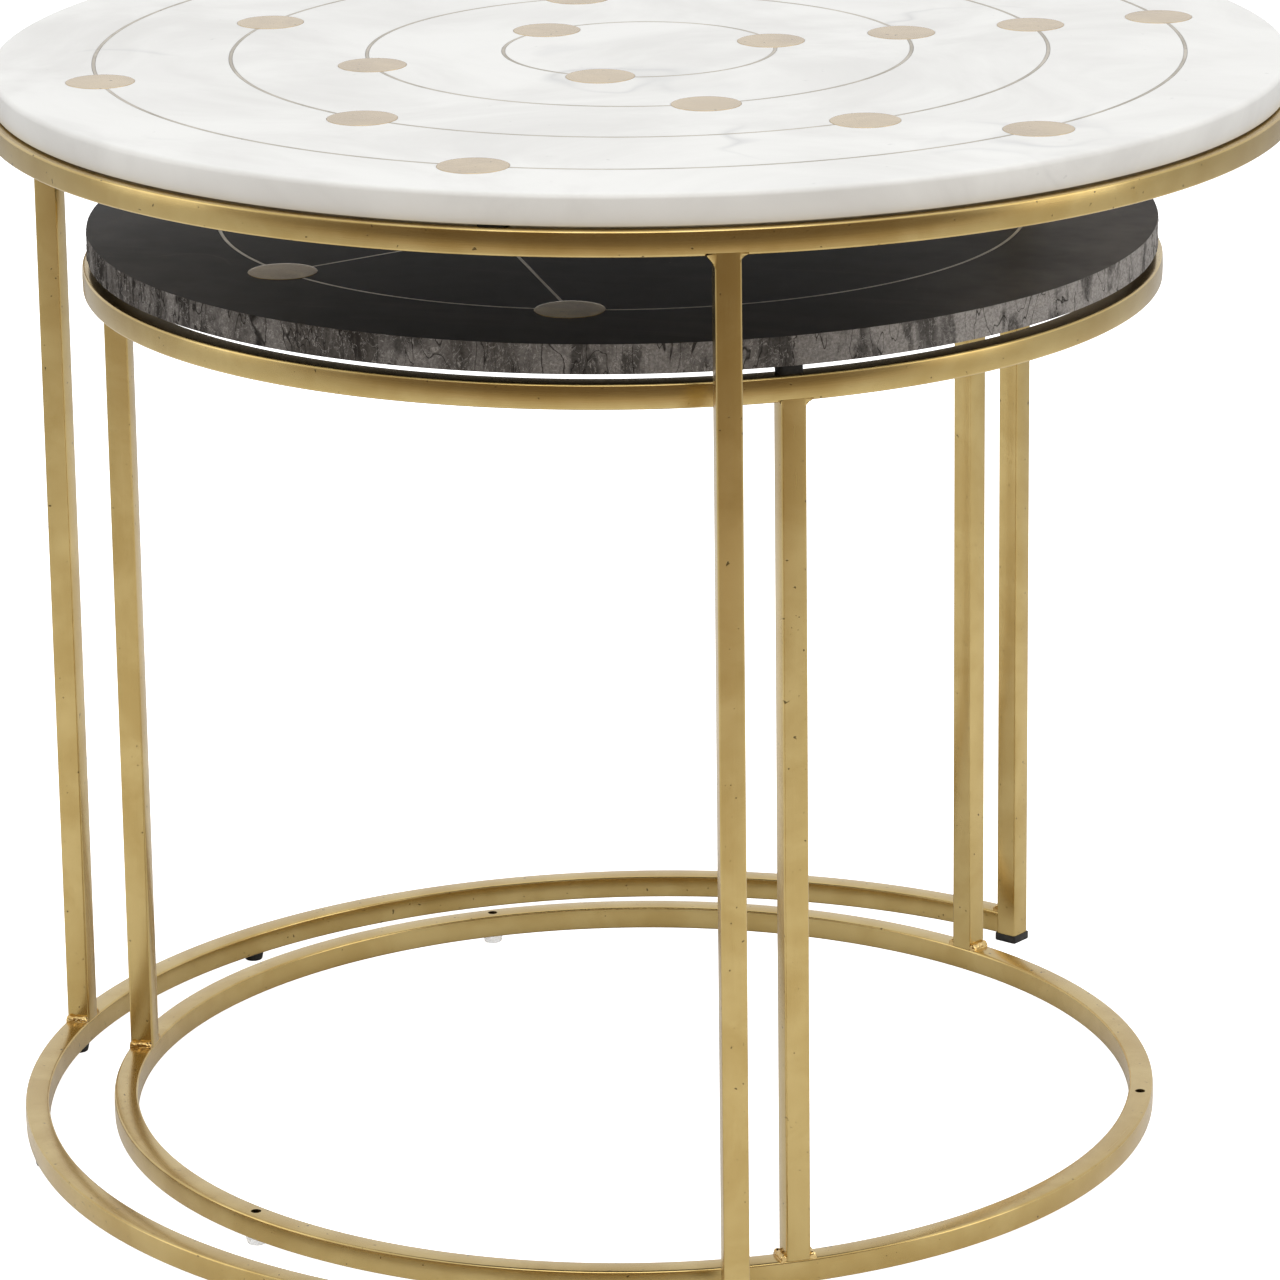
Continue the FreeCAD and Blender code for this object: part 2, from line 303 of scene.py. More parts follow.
@dataclass(frozen=True)
class BrassFinish:
    """Brushed brass, with its tone, its sheen and the way that its brushing runs."""

    name: str
    tint: Colour
    shade: Colour
    roughness: float
    spread: float
    depth: float
    grain: Grain
    centre: tuple[float, float, float] = (0.0, 0.0, 0.0)
    radius: float = 0.3
    lacquer: float = 0.3

    def material(self) -> bpy.types.Material:
        """Build the material.

        Returns:
            The material.
        """
        material, wiring, shader, point = new_material(self.name)
        point = wiring.add("Mapping", {"Vector": point, "Location": self._shift()}).outputs[0]
        if self.grain is Grain.ROUND:
            point = EFFECTS.use(wiring, "around", Point=point, Radius=self.radius).outputs[0]
        stretch = {Grain.UPRIGHT: (1.0, 1.0, 0.02), Grain.ROUND: (0.02, 1.0, 1.0),
                   Grain.FLAT: (0.05, 1.0, 1.0)}[self.grain]
        brushed = EFFECTS.use(wiring, "brushing", Point=point, Stretch=stretch).outputs
        tone = wiring.mix(wiring.remap(brushed["Clouds"], 0.3, 0.7), self.tint, self.shade)
        tone = wiring.mix(wiring.math("MULTIPLY", brushed["Pits"], 0.75), tone, (0.03, 0.02, 0.01))
        wiring.feed(shader.inputs["Base Color"], tone)
        worn = wiring.math("MULTIPLY", wiring.math("SUBTRACT", brushed["Lines"], 0.5), self.spread)
        soft = wiring.math("MULTIPLY", wiring.math("SUBTRACT", brushed["Clouds"], 0.5), self.spread * 0.6)
        rough = wiring.math("ADD", wiring.math("ADD", worn, soft), self.roughness)
        wiring.feed(shader.inputs["Roughness"], rough)
        bump = wiring.add("Bump", {"Height": brushed["Height"], "Strength": 0.5, "Distance": self.depth})
        wiring.feed(shader.inputs["Normal"], bump.outputs[0])
        shader.inputs["Metallic"].default_value = 1.0
        shader.inputs["Coat Weight"].default_value = self.lacquer
        shader.inputs["Coat Roughness"].default_value = 0.2
        return material

    def _shift(self) -> tuple[float, float, float]:
        """Shift that puts the piece's axis on the origin."""
        return tuple(-value for value in self.centre)


@dataclass(frozen=True)
class SawnRim:
    """Rough edge of a round slab, duller than its face, with streaks that climb it; it also lightens the
    sides of the polished face with dust and painted sheen.
    """

    centre: tuple[float, float, float]
    radius: float
    ground: Colour
    light: Colour
    dark: Colour
    # Colour of the lighter haze on the sides of the polished face: dust, and painted sheen.
    dust: Colour
    pale_angle: float = 16.2
    depth: float = 0.004

    def mask(self, wiring: Wiring, point: Socket) -> Socket:
        """Share, 0 or 1 but for a soft border, of a point's being on the edge.

        Args:
            wiring: The material's wiring.
            point: The point, with the slab's axis on the origin.

        Returns:
            The mask's socket.
        """
        facing = wiring.add("SeparateXYZ", {0: wiring.add("TexCoord").outputs["Normal"]}).outputs[2]
        upright = wiring.remap(wiring.math("ABSOLUTE", facing), 0.6, 0.9, 1.0, 0.0)
        reach = wiring.add("SeparateXYZ", {0: self.unrolled(wiring, point)}).outputs[1]
        outer = wiring.remap(reach, self.radius - self.depth, self.radius - self.depth * 0.8)
        return wiring.math("MULTIPLY", upright, outer)

    def unrolled(self, wiring: Wiring, point: Socket) -> Socket:
        """The point as arc length, radius and height."""
        return EFFECTS.use(wiring, "around", Point=point, Radius=self.radius).outputs[0]

    def across(self, wiring: Wiring, point: Socket) -> Socket:
        """Place of a point across the slab, from -1 on the dark side to 1 on the pale one.

        Args:
            wiring: The material's wiring.
            point: The point, with the slab's axis on the origin.

        Returns:
            The place, as a value.
        """
        turn = math.radians(self.pale_angle)
        side = (math.cos(turn) / self.radius, math.sin(turn) / self.radius, 0.0)
        return wiring.add("VectorMath", {0: point, 1: side}, operation="DOT_PRODUCT").outputs["Value"]

    def dust_and_sheen(self, wiring: Wiring, point: Socket) -> Socket:
        """Share of dust and painted sheen in the polished face: more at its two sides, most on the pale one.

        Args:
            wiring: The material's wiring.
            point: The point, with the slab's axis on the origin.

        Returns:
            The share, as a value.
        """
        across = self.across(wiring, point)
        pale = wiring.remap(across, 0.3, 0.95, 0.0, 1.0)
        dim = wiring.remap(across, -0.95, -0.45, 0.3, 0.0)
        cloud = wiring.remap(wiring.noise(point, 11.0, 4.0, 0.65), 0.3, 0.65, 0.35, 1.0)
        return wiring.math("MULTIPLY", wiring.math("ADD", pale, dim), cloud)

    def colour(self, wiring: Wiring, point: Socket) -> Socket:
        """Colour of the sawn stone at a point whose axis is on the origin.

        Args:
            wiring: The material's wiring.
            point: The point, with the slab's axis on the origin.

        Returns:
            The colour.
        """
        unrolled = self.unrolled(wiring, point)
        place = wiring.vector("MULTIPLY", unrolled, (1.0, 1.0, 0.3))
        pale = wiring.remap(self.across(wiring, point), -0.1, 0.75, 0.0, 0.95)
        colour = wiring.mix(pale, self.ground, self.light)
        broad = wiring.noise(place, 20.0, 3.0, 0.6)
        colour = wiring.mix(wiring.remap(broad, 0.42, 0.6, 0.0, 0.45), colour, self.light)
        blocks = wiring.noise(place, 70.0, 3.0, 0.6, 0.6)
        colour = wiring.mix(wiring.remap(blocks, 0.38, 0.5, 0.7, 0.0), colour, self.dark)
        swirl = wiring.noise(wiring.vector("MULTIPLY", unrolled, (1.0, 1.0, 0.55)), 130.0, 4.0, 0.6, 2.2)
        ridge = wiring.math("ABSOLUTE", wiring.math("SUBTRACT", swirl, 0.5))
        colour = wiring.mix(wiring.remap(ridge, 0.0, 0.016, 0.8, 0.0), colour, self.light)
        cracks = wiring.noise(place, 60.0, 2.0, 0.5, 1.2)
        split = wiring.math("ABSOLUTE", wiring.math("SUBTRACT", cracks, 0.5))
        colour = wiring.mix(wiring.remap(split, 0.0, 0.012, 0.9, 0.0), colour, self.dark)
        fine = wiring.noise(unrolled, 900.0, 3.0, 0.7)
        return wiring.mix(wiring.remap(fine, 0.35, 0.65, 0.0, 0.4), colour, self.dark)


@dataclass(frozen=True)
class StoneFinish:
    """Cut and polished stone: a ground colour, clouds, veins and specks."""

    name: str
    ground: Colour
    cloud: Colour
    cloud_amount: float
    vein: Colour
    vein_amount: float
    vein_size: float
    vein_width: float
    vein_gaps: float
    speck: Colour
    speck_amount: float
    roughness: float
    sheen: float = 0.5
    relief: float = 0.08
    streaks: float = 0.0
    grain_angle: float = 16.2
    rim: SawnRim | None = None

    def material(self) -> bpy.types.Material:
        """Build the material.

        Returns:
            The material.
        """
        material, wiring, shader, point = new_material(self.name)
        clouds = wiring.noise(point, 7.0, 5.0, 0.6, 1.2)
        share = wiring.math("MULTIPLY", wiring.remap(clouds, 0.35, 0.7), self.cloud_amount)
        colour = wiring.mix(share, self.ground, self.cloud)
        veins = EFFECTS.use(wiring, "veins", Point=point, Size=self.vein_size, Width=self.vein_width,
                            Gaps=self.vein_gaps).outputs[0]
        colour = wiring.mix(wiring.math("MULTIPLY", veins, self.vein_amount), colour, self.vein)
        if self.streaks:
            turn = (0, 0, -math.radians(self.grain_angle))
            inputs = {"Vector": point, "Rotation": turn, "Scale": (0.12, 1.0, 1.0)}
            along = wiring.add("Mapping", inputs).outputs[0]
            bands = wiring.remap(wiring.noise(along, 55.0, 4.0, 0.65, 0.8), 0.5, 0.72, 0.0, self.streaks)
            colour = wiring.mix(bands, colour, self.cloud)
        specks = EFFECTS.use(wiring, "specks", Point=point, Size=160.0, Amount=0.06).outputs[0]
        colour = wiring.mix(wiring.math("MULTIPLY", specks, self.speck_amount), colour, self.speck)
        haze = wiring.noise(point, 60.0, 3.0, 0.6)
        rough = wiring.math("ADD", self.roughness, wiring.math("MULTIPLY", haze, 0.10))
        grain = wiring.math("ADD", wiring.noise(point, 420.0, 2.0), wiring.math("MULTIPLY", veins, 0.4))
        if self.rim is not None:
            spot = wiring.vector("SUBTRACT", point, self.rim.centre)
            # Dust and painted sheen: the polished face is lighter at its sides, the pale one most.
            colour = wiring.mix(self.rim.dust_and_sheen(wiring, spot), colour, self.rim.dust)
            mask = self.rim.mask(wiring, spot)
            colour = wiring.mix(mask, colour, self.rim.colour(wiring, spot))
            rough = wiring.math("ADD", rough, wiring.math("MULTIPLY", mask, 0.5))
            chips = wiring.math("MULTIPLY", wiring.noise(point, 1100.0, 3.0, 0.7), mask)
            grain = wiring.math("ADD", grain, wiring.math("MULTIPLY", chips, 5.0))
        wiring.feed(shader.inputs["Base Color"], colour)
        wiring.feed(shader.inputs["Roughness"], rough)
        shader.inputs["Specular IOR Level"].default_value = self.sheen
        bump = wiring.add("Bump", {"Height": grain, "Strength": self.relief, "Distance": 0.0001})
        wiring.feed(shader.inputs["Normal"], bump.outputs[0])
        return material


@dataclass(frozen=True)
class PlainFinish:
    """Dull black moulded plastic or rubber with a fine grain."""

    name: str
    tint: Colour
    roughness: float

    def material(self) -> bpy.types.Material:
        """Build the material.

        Returns:
            The material.
        """
        material, wiring, shader, point = new_material(self.name)
        grain = wiring.noise(point, 900.0, 3.0, 0.6)
        dust = wiring.remap(wiring.noise(point, 120.0, 4.0, 0.7), 0.5, 0.75, 0.0, 0.35)
        wiring.feed(shader.inputs["Base Color"], wiring.mix(dust, self.tint, linear(88, 84, 78)))
        rough = wiring.math("ADD", self.roughness, wiring.math("MULTIPLY", grain, 0.2))
        wiring.feed(shader.inputs["Roughness"], rough)
        bump = wiring.add("Bump", {"Height": grain, "Strength": 0.4, "Distance": 0.0001})
        wiring.feed(shader.inputs["Normal"], bump.outputs[0])
        return material


@dataclass(frozen=True)
class ClearFinish:
    """Clear moulded plastic, scuffed to a light frost."""

    name: str
    tint: Colour
    opacity: float
    roughness: float

    def material(self) -> bpy.types.Material:
        """Build the material.

        Returns:
            The material.
        """
        material, wiring, shader, point = new_material(self.name)
        scuffs = wiring.remap(wiring.noise(point, 420.0, 4.0, 0.7), 0.45, 0.7)
        wiring.feed(shader.inputs["Base Color"], wiring.mix(scuffs, self.tint, linear(246, 246, 244)))
        wiring.feed(shader.inputs["Roughness"], wiring.math("MULTIPLY_ADD", scuffs, 0.3, self.roughness))
        wiring.feed(shader.inputs["Alpha"], wiring.math("MULTIPLY_ADD", scuffs, 0.2, self.opacity))
        bump = wiring.add("Bump", {"Height": scuffs, "Strength": 0.3, "Distance": 0.00005})
        wiring.feed(shader.inputs["Normal"], bump.outputs[0])
        return material


def polar(radius: float, degrees: float, height: float = 0.0, centre: Vector = Vector()) -> Vector:
    """Point at a radius and an angle about an upright axis, at a height."""
    turn = math.radians(degrees)
    return Vector((centre.x + radius * math.cos(turn), centre.y + radius * math.sin(turn), height))


def rise(edge: bmesh.types.BMEdge) -> float:
    """Height between the two ends of an edge."""
    return abs(edge.verts[0].co.z - edge.verts[1].co.z)


class Workpiece:
    """A mesh object that is shaped step by step with the modelling operators."""

    def __init__(self, name: str) -> None:
        """Take the object that was just added, and put its place into its mesh.

        Args:
            name: Name of the object and of its mesh.
        """
        self.thing = bpy.context.object
        self.thing.name = self.thing.data.name = name
        bpy.ops.object.transform_apply(location=True, rotation=True, scale=True)

    @classmethod
    def plate(cls, name: str, centre: Vector, width: float, depth: float,
              turn: tuple[float, float, float] = (0.0, 0.0, 0.0)) -> "Workpiece":
        """Flat rectangle, turned by Euler angles in radians.

        Args:
            name: Its name.
            centre: Its middle.
            width: Size along its own X.
            depth: Size along its own Y.
            turn: The angles, about X, Y and Z.

        Returns:
            The piece.
        """
        bpy.ops.object.select_all(action="DESELECT")
        bpy.ops.mesh.primitive_plane_add(size=1.0, location=centre, rotation=turn)
        bpy.context.object.scale = (width, depth, 1.0)
        return cls(name)

    @classmethod
    def block(cls, name: str, centre: Vector, size: tuple[float, float, float],
              degrees: float = 0.0) -> "Workpiece":
        """Rectangular block, turned about the vertical.

        Args:
            name: Its name.
            centre: Its middle.
            size: Its three sizes before the turn.
            degrees: The turn.

        Returns:
            The piece.
        """
        bpy.ops.object.select_all(action="DESELECT")
        bpy.ops.mesh.primitive_cube_add(size=1.0, location=centre, rotation=(0, 0, math.radians(degrees)))
        bpy.context.object.scale = size
        return cls(name)

    @classmethod
    def drum(cls, name: str, base: Vector, radius: float, height: float, sides: int,
             top_radius: float | None = None) -> "Workpiece":
        """Upright cylinder or cone that stands on a point.

        Args:
            name: Its name.
            base: Middle of its lower face.
            radius: Radius of its lower face.
            height: Its height.
            sides: Number of its sides.
            top_radius: Radius of its upper face, where it differs.

        Returns:
            The piece.
        """
        bpy.ops.object.select_all(action="DESELECT")
        middle = base + Vector((0, 0, height / 2))
        upper = radius if top_radius is None else top_radius
        bpy.ops.mesh.primitive_cone_add(vertices=sides, radius1=radius, radius2=upper, depth=height,
                                        location=middle, end_fill_type="NGON")
        return cls(name)

    def focus(self) -> None:
        """Make this the only selected object, and the active one."""
        bpy.ops.object.select_all(action="DESELECT")
        self.thing.select_set(True)
        bpy.context.view_layer.objects.active = self.thing

    @contextmanager
    def editing(self) -> Iterator[None]:
        """Edit mode on this object, for as long as the block runs.

        Yields:
            Nothing; the object is in edit mode meanwhile.
        """
        self.focus()
        bpy.ops.object.mode_set(mode="EDIT")
        try:
            yield
        finally:
            bpy.ops.object.mode_set(mode="OBJECT")

    def pick(self, kind: str, test: Callable[[Vector], bool]) -> None:
        """Select the vertices, edges or faces that have every corner where a test says.

        Args:
            kind: VERT, EDGE or FACE.
            test: Says whether a corner's place counts.
        """
        bpy.ops.mesh.select_mode(type=kind)
        bpy.ops.mesh.select_all(action="DESELECT")
        shape = bmesh.from_edit_mesh(self.thing.data)
        elements = {"VERT": shape.verts, "EDGE": shape.edges, "FACE": shape.faces}[kind]
        for element in elements:
            corners = (element,) if kind == "VERT" else element.verts
            if all(test(corner.co) for corner in corners):
                element.select_set(True)
        bmesh.update_edit_mesh(self.thing.data)

    def pick_edges(self, test: Callable[[bmesh.types.BMEdge], bool]) -> None:
        """Select the edges for which a test of the edge holds.

        Args:
            test: Says whether an edge counts.
        """
        bpy.ops.mesh.select_mode(type="EDGE")
        bpy.ops.mesh.select_all(action="DESELECT")
        shape = bmesh.from_edit_mesh(self.thing.data)
        for edge in shape.edges:
            edge.select_set(bool(test(edge)))
        bmesh.update_edit_mesh(self.thing.data)

    def round_corners(self, radius: float, segments: int = 4) -> None:
        """Round the corners of a flat outline.

        Args:
            radius: Radius of the corners.
            segments: Number of flats in each.
        """
        with self.editing():
            bpy.ops.mesh.select_all(action="SELECT")
            bpy.ops.mesh.bevel(offset=radius, offset_type="OFFSET", segments=segments, profile=0.5,
                               affect="VERTICES")

    def round_edges(self, radius: float, segments: int, test: Callable[[Vector], bool]) -> None:
        """Round the edges that a test picks.

        Args:
            radius: Radius of the rounding.
            segments: Number of flats in it.
            test: Says whether a corner's place counts; both ends of an edge have to.
        """
        with self.editing():
            self.pick("EDGE", test)
            bpy.ops.mesh.bevel(offset=radius, offset_type="OFFSET", segments=segments, profile=0.5,
                               affect="EDGES")

    def crown(self, centre: Vector, width: float, bulge: float) -> None:
        """Swell the four sides of a rounded square outline a little at their middles.

        Args:
            centre: Middle of the outline.
            width: Width of the outline.
            bulge: How far the middles move out.
        """
        with self.editing():
            self.pick_edges(lambda edge: edge.calc_length() > width / 2)
            bpy.ops.mesh.subdivide(number_cuts=1)
            self.pick("VERT", lambda corner: (corner - centre).length < width / 2 * 1.01)
            bpy.ops.transform.resize(value=(1 + 2 * bulge / width,) * 3, center_override=centre)

    def spin(self, centre: Vector, degrees: float, steps: int, hollow: bool = True) -> None:
        """Sweep the section round an upright axis.

        Args:
            centre: A point on the axis.
            degrees: How far round; 360 closes the ring.
            steps: Number of steps of the sweep.
            hollow: Whether only the section's outline is swept, and not its face.
        """
        with self.editing():
            bpy.ops.mesh.select_mode(type="VERT")
            bpy.ops.mesh.select_all(action="SELECT")
            if hollow:
                bpy.ops.mesh.delete(type="ONLY_FACE")
                bpy.ops.mesh.select_all(action="SELECT")
            bpy.ops.mesh.spin(steps=steps, angle=-math.radians(degrees), center=centre, axis=(0, 0, 1),
                              use_auto_merge=False)
            bpy.ops.mesh.select_all(action="SELECT")
            bpy.ops.mesh.remove_doubles(threshold=1e-5)
            bpy.ops.mesh.normals_make_consistent(inside=False)

    def modify(self, kind: str, **settings) -> None:
        """Add a modifier with its settings, and apply it.

        Args:
            kind: The modifier's type.
            settings: Attributes of the modifier.
        """
        modifier = self.thing.modifiers.new(kind.lower(), kind)
        for key, setting in settings.items():
            setattr(modifier, key, setting)
        self.focus()
        bpy.ops.object.modifier_apply(modifier=modifier.name)

    def cut(self, cutter: "Workpiece") -> None:
        """Take another piece's shape away from this one, and delete the other piece."""
        self.modify("BOOLEAN", object=cutter.thing, operation="DIFFERENCE", solver="EXACT")
        bpy.data.objects.remove(cutter.thing)

    def roughen(self, size: float, depth: float, group: str = "", middle: float = 0.5) -> None:
        """Push the surface in and out by a cloudy noise.

        Args:
            size: Size of the lumps.
            depth: How far from the highest to the lowest.
            group: Vertex group that is roughened; empty for all.
            middle: Share of the noise that leaves the surface where it is.
        """
        noise = bpy.data.textures.new("lumps", "CLOUDS")
        noise.noise_scale = size
        noise.noise_depth = 2
        self.modify("DISPLACE", texture=noise, texture_coords="LOCAL", strength=depth, mid_level=middle,
                    vertex_group=group)

    def joined(self, others: list["Workpiece"]) -> "Workpiece":
        """This piece with others joined to it.

        Args:
            others: The pieces that become part of this one.

        Returns:
            This piece.
        """
        self.focus()
        for other in others:
            other.thing.select_set(True)
        bpy.ops.object.join()
        return self

    def repeated(self, places: list[tuple[Vector, float]]) -> "Workpiece":
        """Copies of the piece, each turned about Z by degrees and moved, joined into one piece.

        Args:
            places: Where each copy goes, and its turn.

        Returns:
            The piece that the copies make.
        """
        copies = []
        for place, degrees in places:
            self.focus()
            bpy.ops.object.duplicate(linked=False)
            copy = bpy.context.object
            copy.rotation_euler.z = math.radians(degrees)
            copy.location = place
            copies.append(copy)
        name = self.thing.name
        bpy.data.objects.remove(self.thing)
        bpy.ops.object.select_all(action="DESELECT")
        for copy in copies:
            copy.select_set(True)
        bpy.context.view_layer.objects.active = copies[0]
        bpy.ops.object.transform_apply(location=True, rotation=True, scale=True)
        bpy.ops.object.join()
        self.thing = bpy.context.object
        self.thing.name = self.thing.data.name = name
        return self

    def done(self, node: str, body: str, slot: str, finish: bpy.types.Material, smooth: float = 35.0) -> None:
        """Shade, dress and hand over the piece in place of a CAD node.

        Args:
            node: The CAD node that it stands for.
            body: The body that it rides on.
            slot: The record's material slot; not used.
            finish: Its material.
            smooth: Edges sharper than this, in degrees, stay crisp.
        """
        self.focus()
        bpy.ops.object.shade_smooth_by_angle(angle=math.radians(smooth))
        self.thing.data.materials.clear()
        self.thing.data.materials.append(finish)
        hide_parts(node)
        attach(self.thing, body)
        LOG.info("%s: %d faces", self.thing.name, len(self.thing.data.polygons))


class Edge(Enum):
    """How the edge of a stone top is worked."""

    EASED = "rounded over and honed"
    SAWN = "left rough from the saw"


@dataclass(frozen=True)
class Course:
    """Discs of a top and the strips between them, each in a node of its own."""

    disc_node: str
    strip_node: str
    discs: tuple[Vector, ...]
    arcs: tuple[tuple[float, float, float, int], ...] = ()
    lines: tuple[tuple[Vector, Vector], ...] = ()


@dataclass
class StoneTop:
    """Round stone top with its inlay of brass discs and strips."""

    prefix: str
    body: str
    edge: Edge
    stone_slot: str
    stone: bpy.types.Material
    disc_brass: bpy.types.Material
    strip_brass: bpy.types.Material
    disc_radius: float = 0.01575
    strip_width: float = 0.0015
    inlay_depth: float = 0.003
    glue_gap: float = 0.00015
    disc_stand: float = 0.00012
    eased_radius: float = 0.0025
    sawn_radius: float = 0.0005
    under_radius: float = 0.0006
    sides: int = 360
    courses: list[Course] = field(default_factory=list)

    def __post_init__(self) -> None:
        """Read the slab's place and size from the frame."""
        low, high = (Vector(corner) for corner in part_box(self.prefix + "_slab"))
        self.centre = Vector(((low.x + high.x) / 2, (low.y + high.y) / 2, 0))
        self.radius = (high.x - low.x) / 2
        self.top = high.z
        self.bottom = low.z

    def build(self) -> None:
        """Make the slab, and the discs and strips of every course."""
        self._slab()
        for course in self.courses:
            self._discs(course)
            self._strips(course)

    def _reach(self, corner: Vector) -> float:
        """Distance of a point from the slab's axis."""
        return math.hypot(corner.x - self.centre.x, corner.y - self.centre.y)

    def _slab(self) -> None:
        """Turned slab with pockets and grooves, and its worked edge."""
        base = Vector((self.centre.x, self.centre.y, self.bottom))
        sides = self.sides if self.edge is Edge.EASED else self.sides * 2
        slab = Workpiece.drum(self.prefix + "_stone_top", base, self.radius, self.top - self.bottom, sides)
        upper = self.eased_radius if self.edge is Edge.EASED else self.sawn_radius
        slab.round_edges(upper, 8 if self.edge is Edge.EASED else 2,
                         lambda corner: corner.z > self.top - 1e-5)
        slab.round_edges(self.under_radius, 2, lambda corner: corner.z < self.bottom + 1e-5)
        for level in (self.top, self.bottom):
            with slab.editing():
                slab.pick("FACE", lambda corner: abs(corner.z - level) < 1e-5)
                bpy.ops.mesh.inset(thickness=self.disc_radius * 0.1)
        for course in self.courses:
            slab.cut(self._pockets(course.discs))
            for radius in {arc[0] for arc in course.arcs}:
                slab.cut(self._groove(radius))
            for start, end in course.lines:
                slab.cut(self._line("groove", start, end, self.glue_gap, self.inlay_depth))
        if self.edge is Edge.SAWN:
            self._saw(slab)
        slab.done(self.prefix + "_slab", self.body, self.stone_slot, self.stone, smooth=40.0)

    def _saw(self, slab: Workpiece) -> None:
        """Cut the edge into fine rows and roughen it, the upper corner with it.

        Args:
            slab: The slab.
        """
        tall = (self.top - self.bottom) / 2
        with slab.editing():
            slab.pick_edges(lambda edge: rise(edge) > tall
                            and self._reach(edge.verts[0].co) > self.radius - 1e-4)
            bpy.ops.mesh.subdivide(number_cuts=11)
        rim = slab.thing.vertex_groups.new(name="sawn")
        rim.add([vertex.index for vertex in slab.thing.data.vertices
                 if self._reach(vertex.co) > self.radius - self.sawn_radius * 0.7], 1.0, "REPLACE")
        slab.roughen(0.009, 0.0010, "sawn", 0.75)
        slab.roughen(0.0022, 0.0011, "sawn", 0.7)

    def _pockets(self, discs: tuple[Vector, ...]) -> Workpiece:
        """Cutter for the pockets of some discs.

        Args:
            discs: Middles of the discs, at the height of the top.

        Returns:
            The cutter.
        """
        radius = self.disc_radius + self.glue_gap
        pocket = Workpiece.drum("pocket", Vector(), radius, self.inlay_depth * 2, 96)
        return pocket.repeated([(disc - Vector((0, 0, self.inlay_depth)), 0.0) for disc in discs])

    def _groove(self, radius: float) -> Workpiece:
        """Cutter for the groove of a ring of strip.

        Args:
            radius: Radius of the ring's middle.

        Returns:
            The cutter.
        """
        middle = self.centre + Vector((radius, 0, self.top))
        groove = Workpiece.plate("groove", middle, self.strip_width + 2 * self.glue_gap, self.inlay_depth * 2,
                                 (math.pi / 2, 0, 0))
        groove.spin(self.centre, 360.0, self.sides)
        return groove

    def _line(self, name: str, start: Vector, end: Vector, gap: float, above: float) -> Workpiece:
        """Straight strip from the edge of one disc to the edge of another, or the cutter for its groove.

        Args:
            name: Its name.
            start: Middle of the first disc.
            end: Middle of the second disc.
            gap: Glue gap to add at the sides and ends; 0 for the strip itself.
            above: How far it stands above the stone.

        Returns:
            The strip or the cutter.
        """
        along = end - start
        length = along.length - 2 * (self.disc_radius + self.glue_gap - gap)
        height = self.inlay_depth + above
        middle = (start + end) / 2
        middle.z = self.top - self.inlay_depth + height / 2
        size = (length, self.strip_width + 2 * gap, height)
        return Workpiece.block(name, middle, size, math.degrees(math.atan2(along.y, along.x)))

    def _discs(self, course: Course) -> None:
        """Discs with a fine bevel and a slightly raised middle.

        Args:
            course: The course that the discs belong to.
        """
        disc = Workpiece.drum(course.disc_node + "_set", Vector(), self.disc_radius,
                              self.inlay_depth + self.disc_stand, 96)
        crest = self.inlay_depth + self.disc_stand
        disc.round_edges(self.disc_stand, 2, lambda corner: corner.z > crest - 1e-6)
        with disc.editing():
            disc.pick("FACE", lambda corner: corner.z > crest - 1e-6)
            bpy.ops.mesh.inset(thickness=self.disc_radius * 0.06)
            bpy.ops.mesh.inset(thickness=self.disc_radius * 0.5)
            bpy.ops.transform.translate(value=(0, 0, self.disc_stand))
        places = [(Vector((spot.x, spot.y, self.top - self.inlay_depth)), 0.0) for spot in course.discs]
        disc.repeated(places).done(course.disc_node, self.body, "inlay_disc_brass", self.disc_brass, 60.0)

    def _strips(self, course: Course) -> None:
        """Arcs and straight strips of a course, flush with the stone.

        Args:
            course: The course that the strips belong to.
        """
        pieces = []
        for radius, start, sweep, copies in course.arcs:
            margin = 2 * math.degrees(math.asin((self.disc_radius + self.glue_gap) / (2 * radius)))
            first = start + margin
            middle = polar(radius, first, self.top - self.inlay_depth / 2)
            arc = Workpiece.plate("arc", middle, self.strip_width, self.inlay_depth,
                                  (math.pi / 2, 0, math.radians(first)))
            span = sweep - 2 * margin
            arc.spin(Vector(), span, max(12, round(span)), hollow=False)
            pieces.append(arc.repeated([(self.centre, 360.0 / copies * number) for number in range(copies)]))
        for start, end in course.lines:
            line = self._line("line", start, end, 0.0, 0.0)
            line.round_edges(self.strip_width * 0.05, 1, lambda corner: corner.z > self.top - 1e-6)
            pieces.append(line)
        strips = pieces[0].joined(pieces[1:])
        strips.thing.name = strips.thing.data.name = course.strip_node + "_strip"
        strips.done(course.strip_node, self.body, "inlay_strip_brass", self.strip_brass)


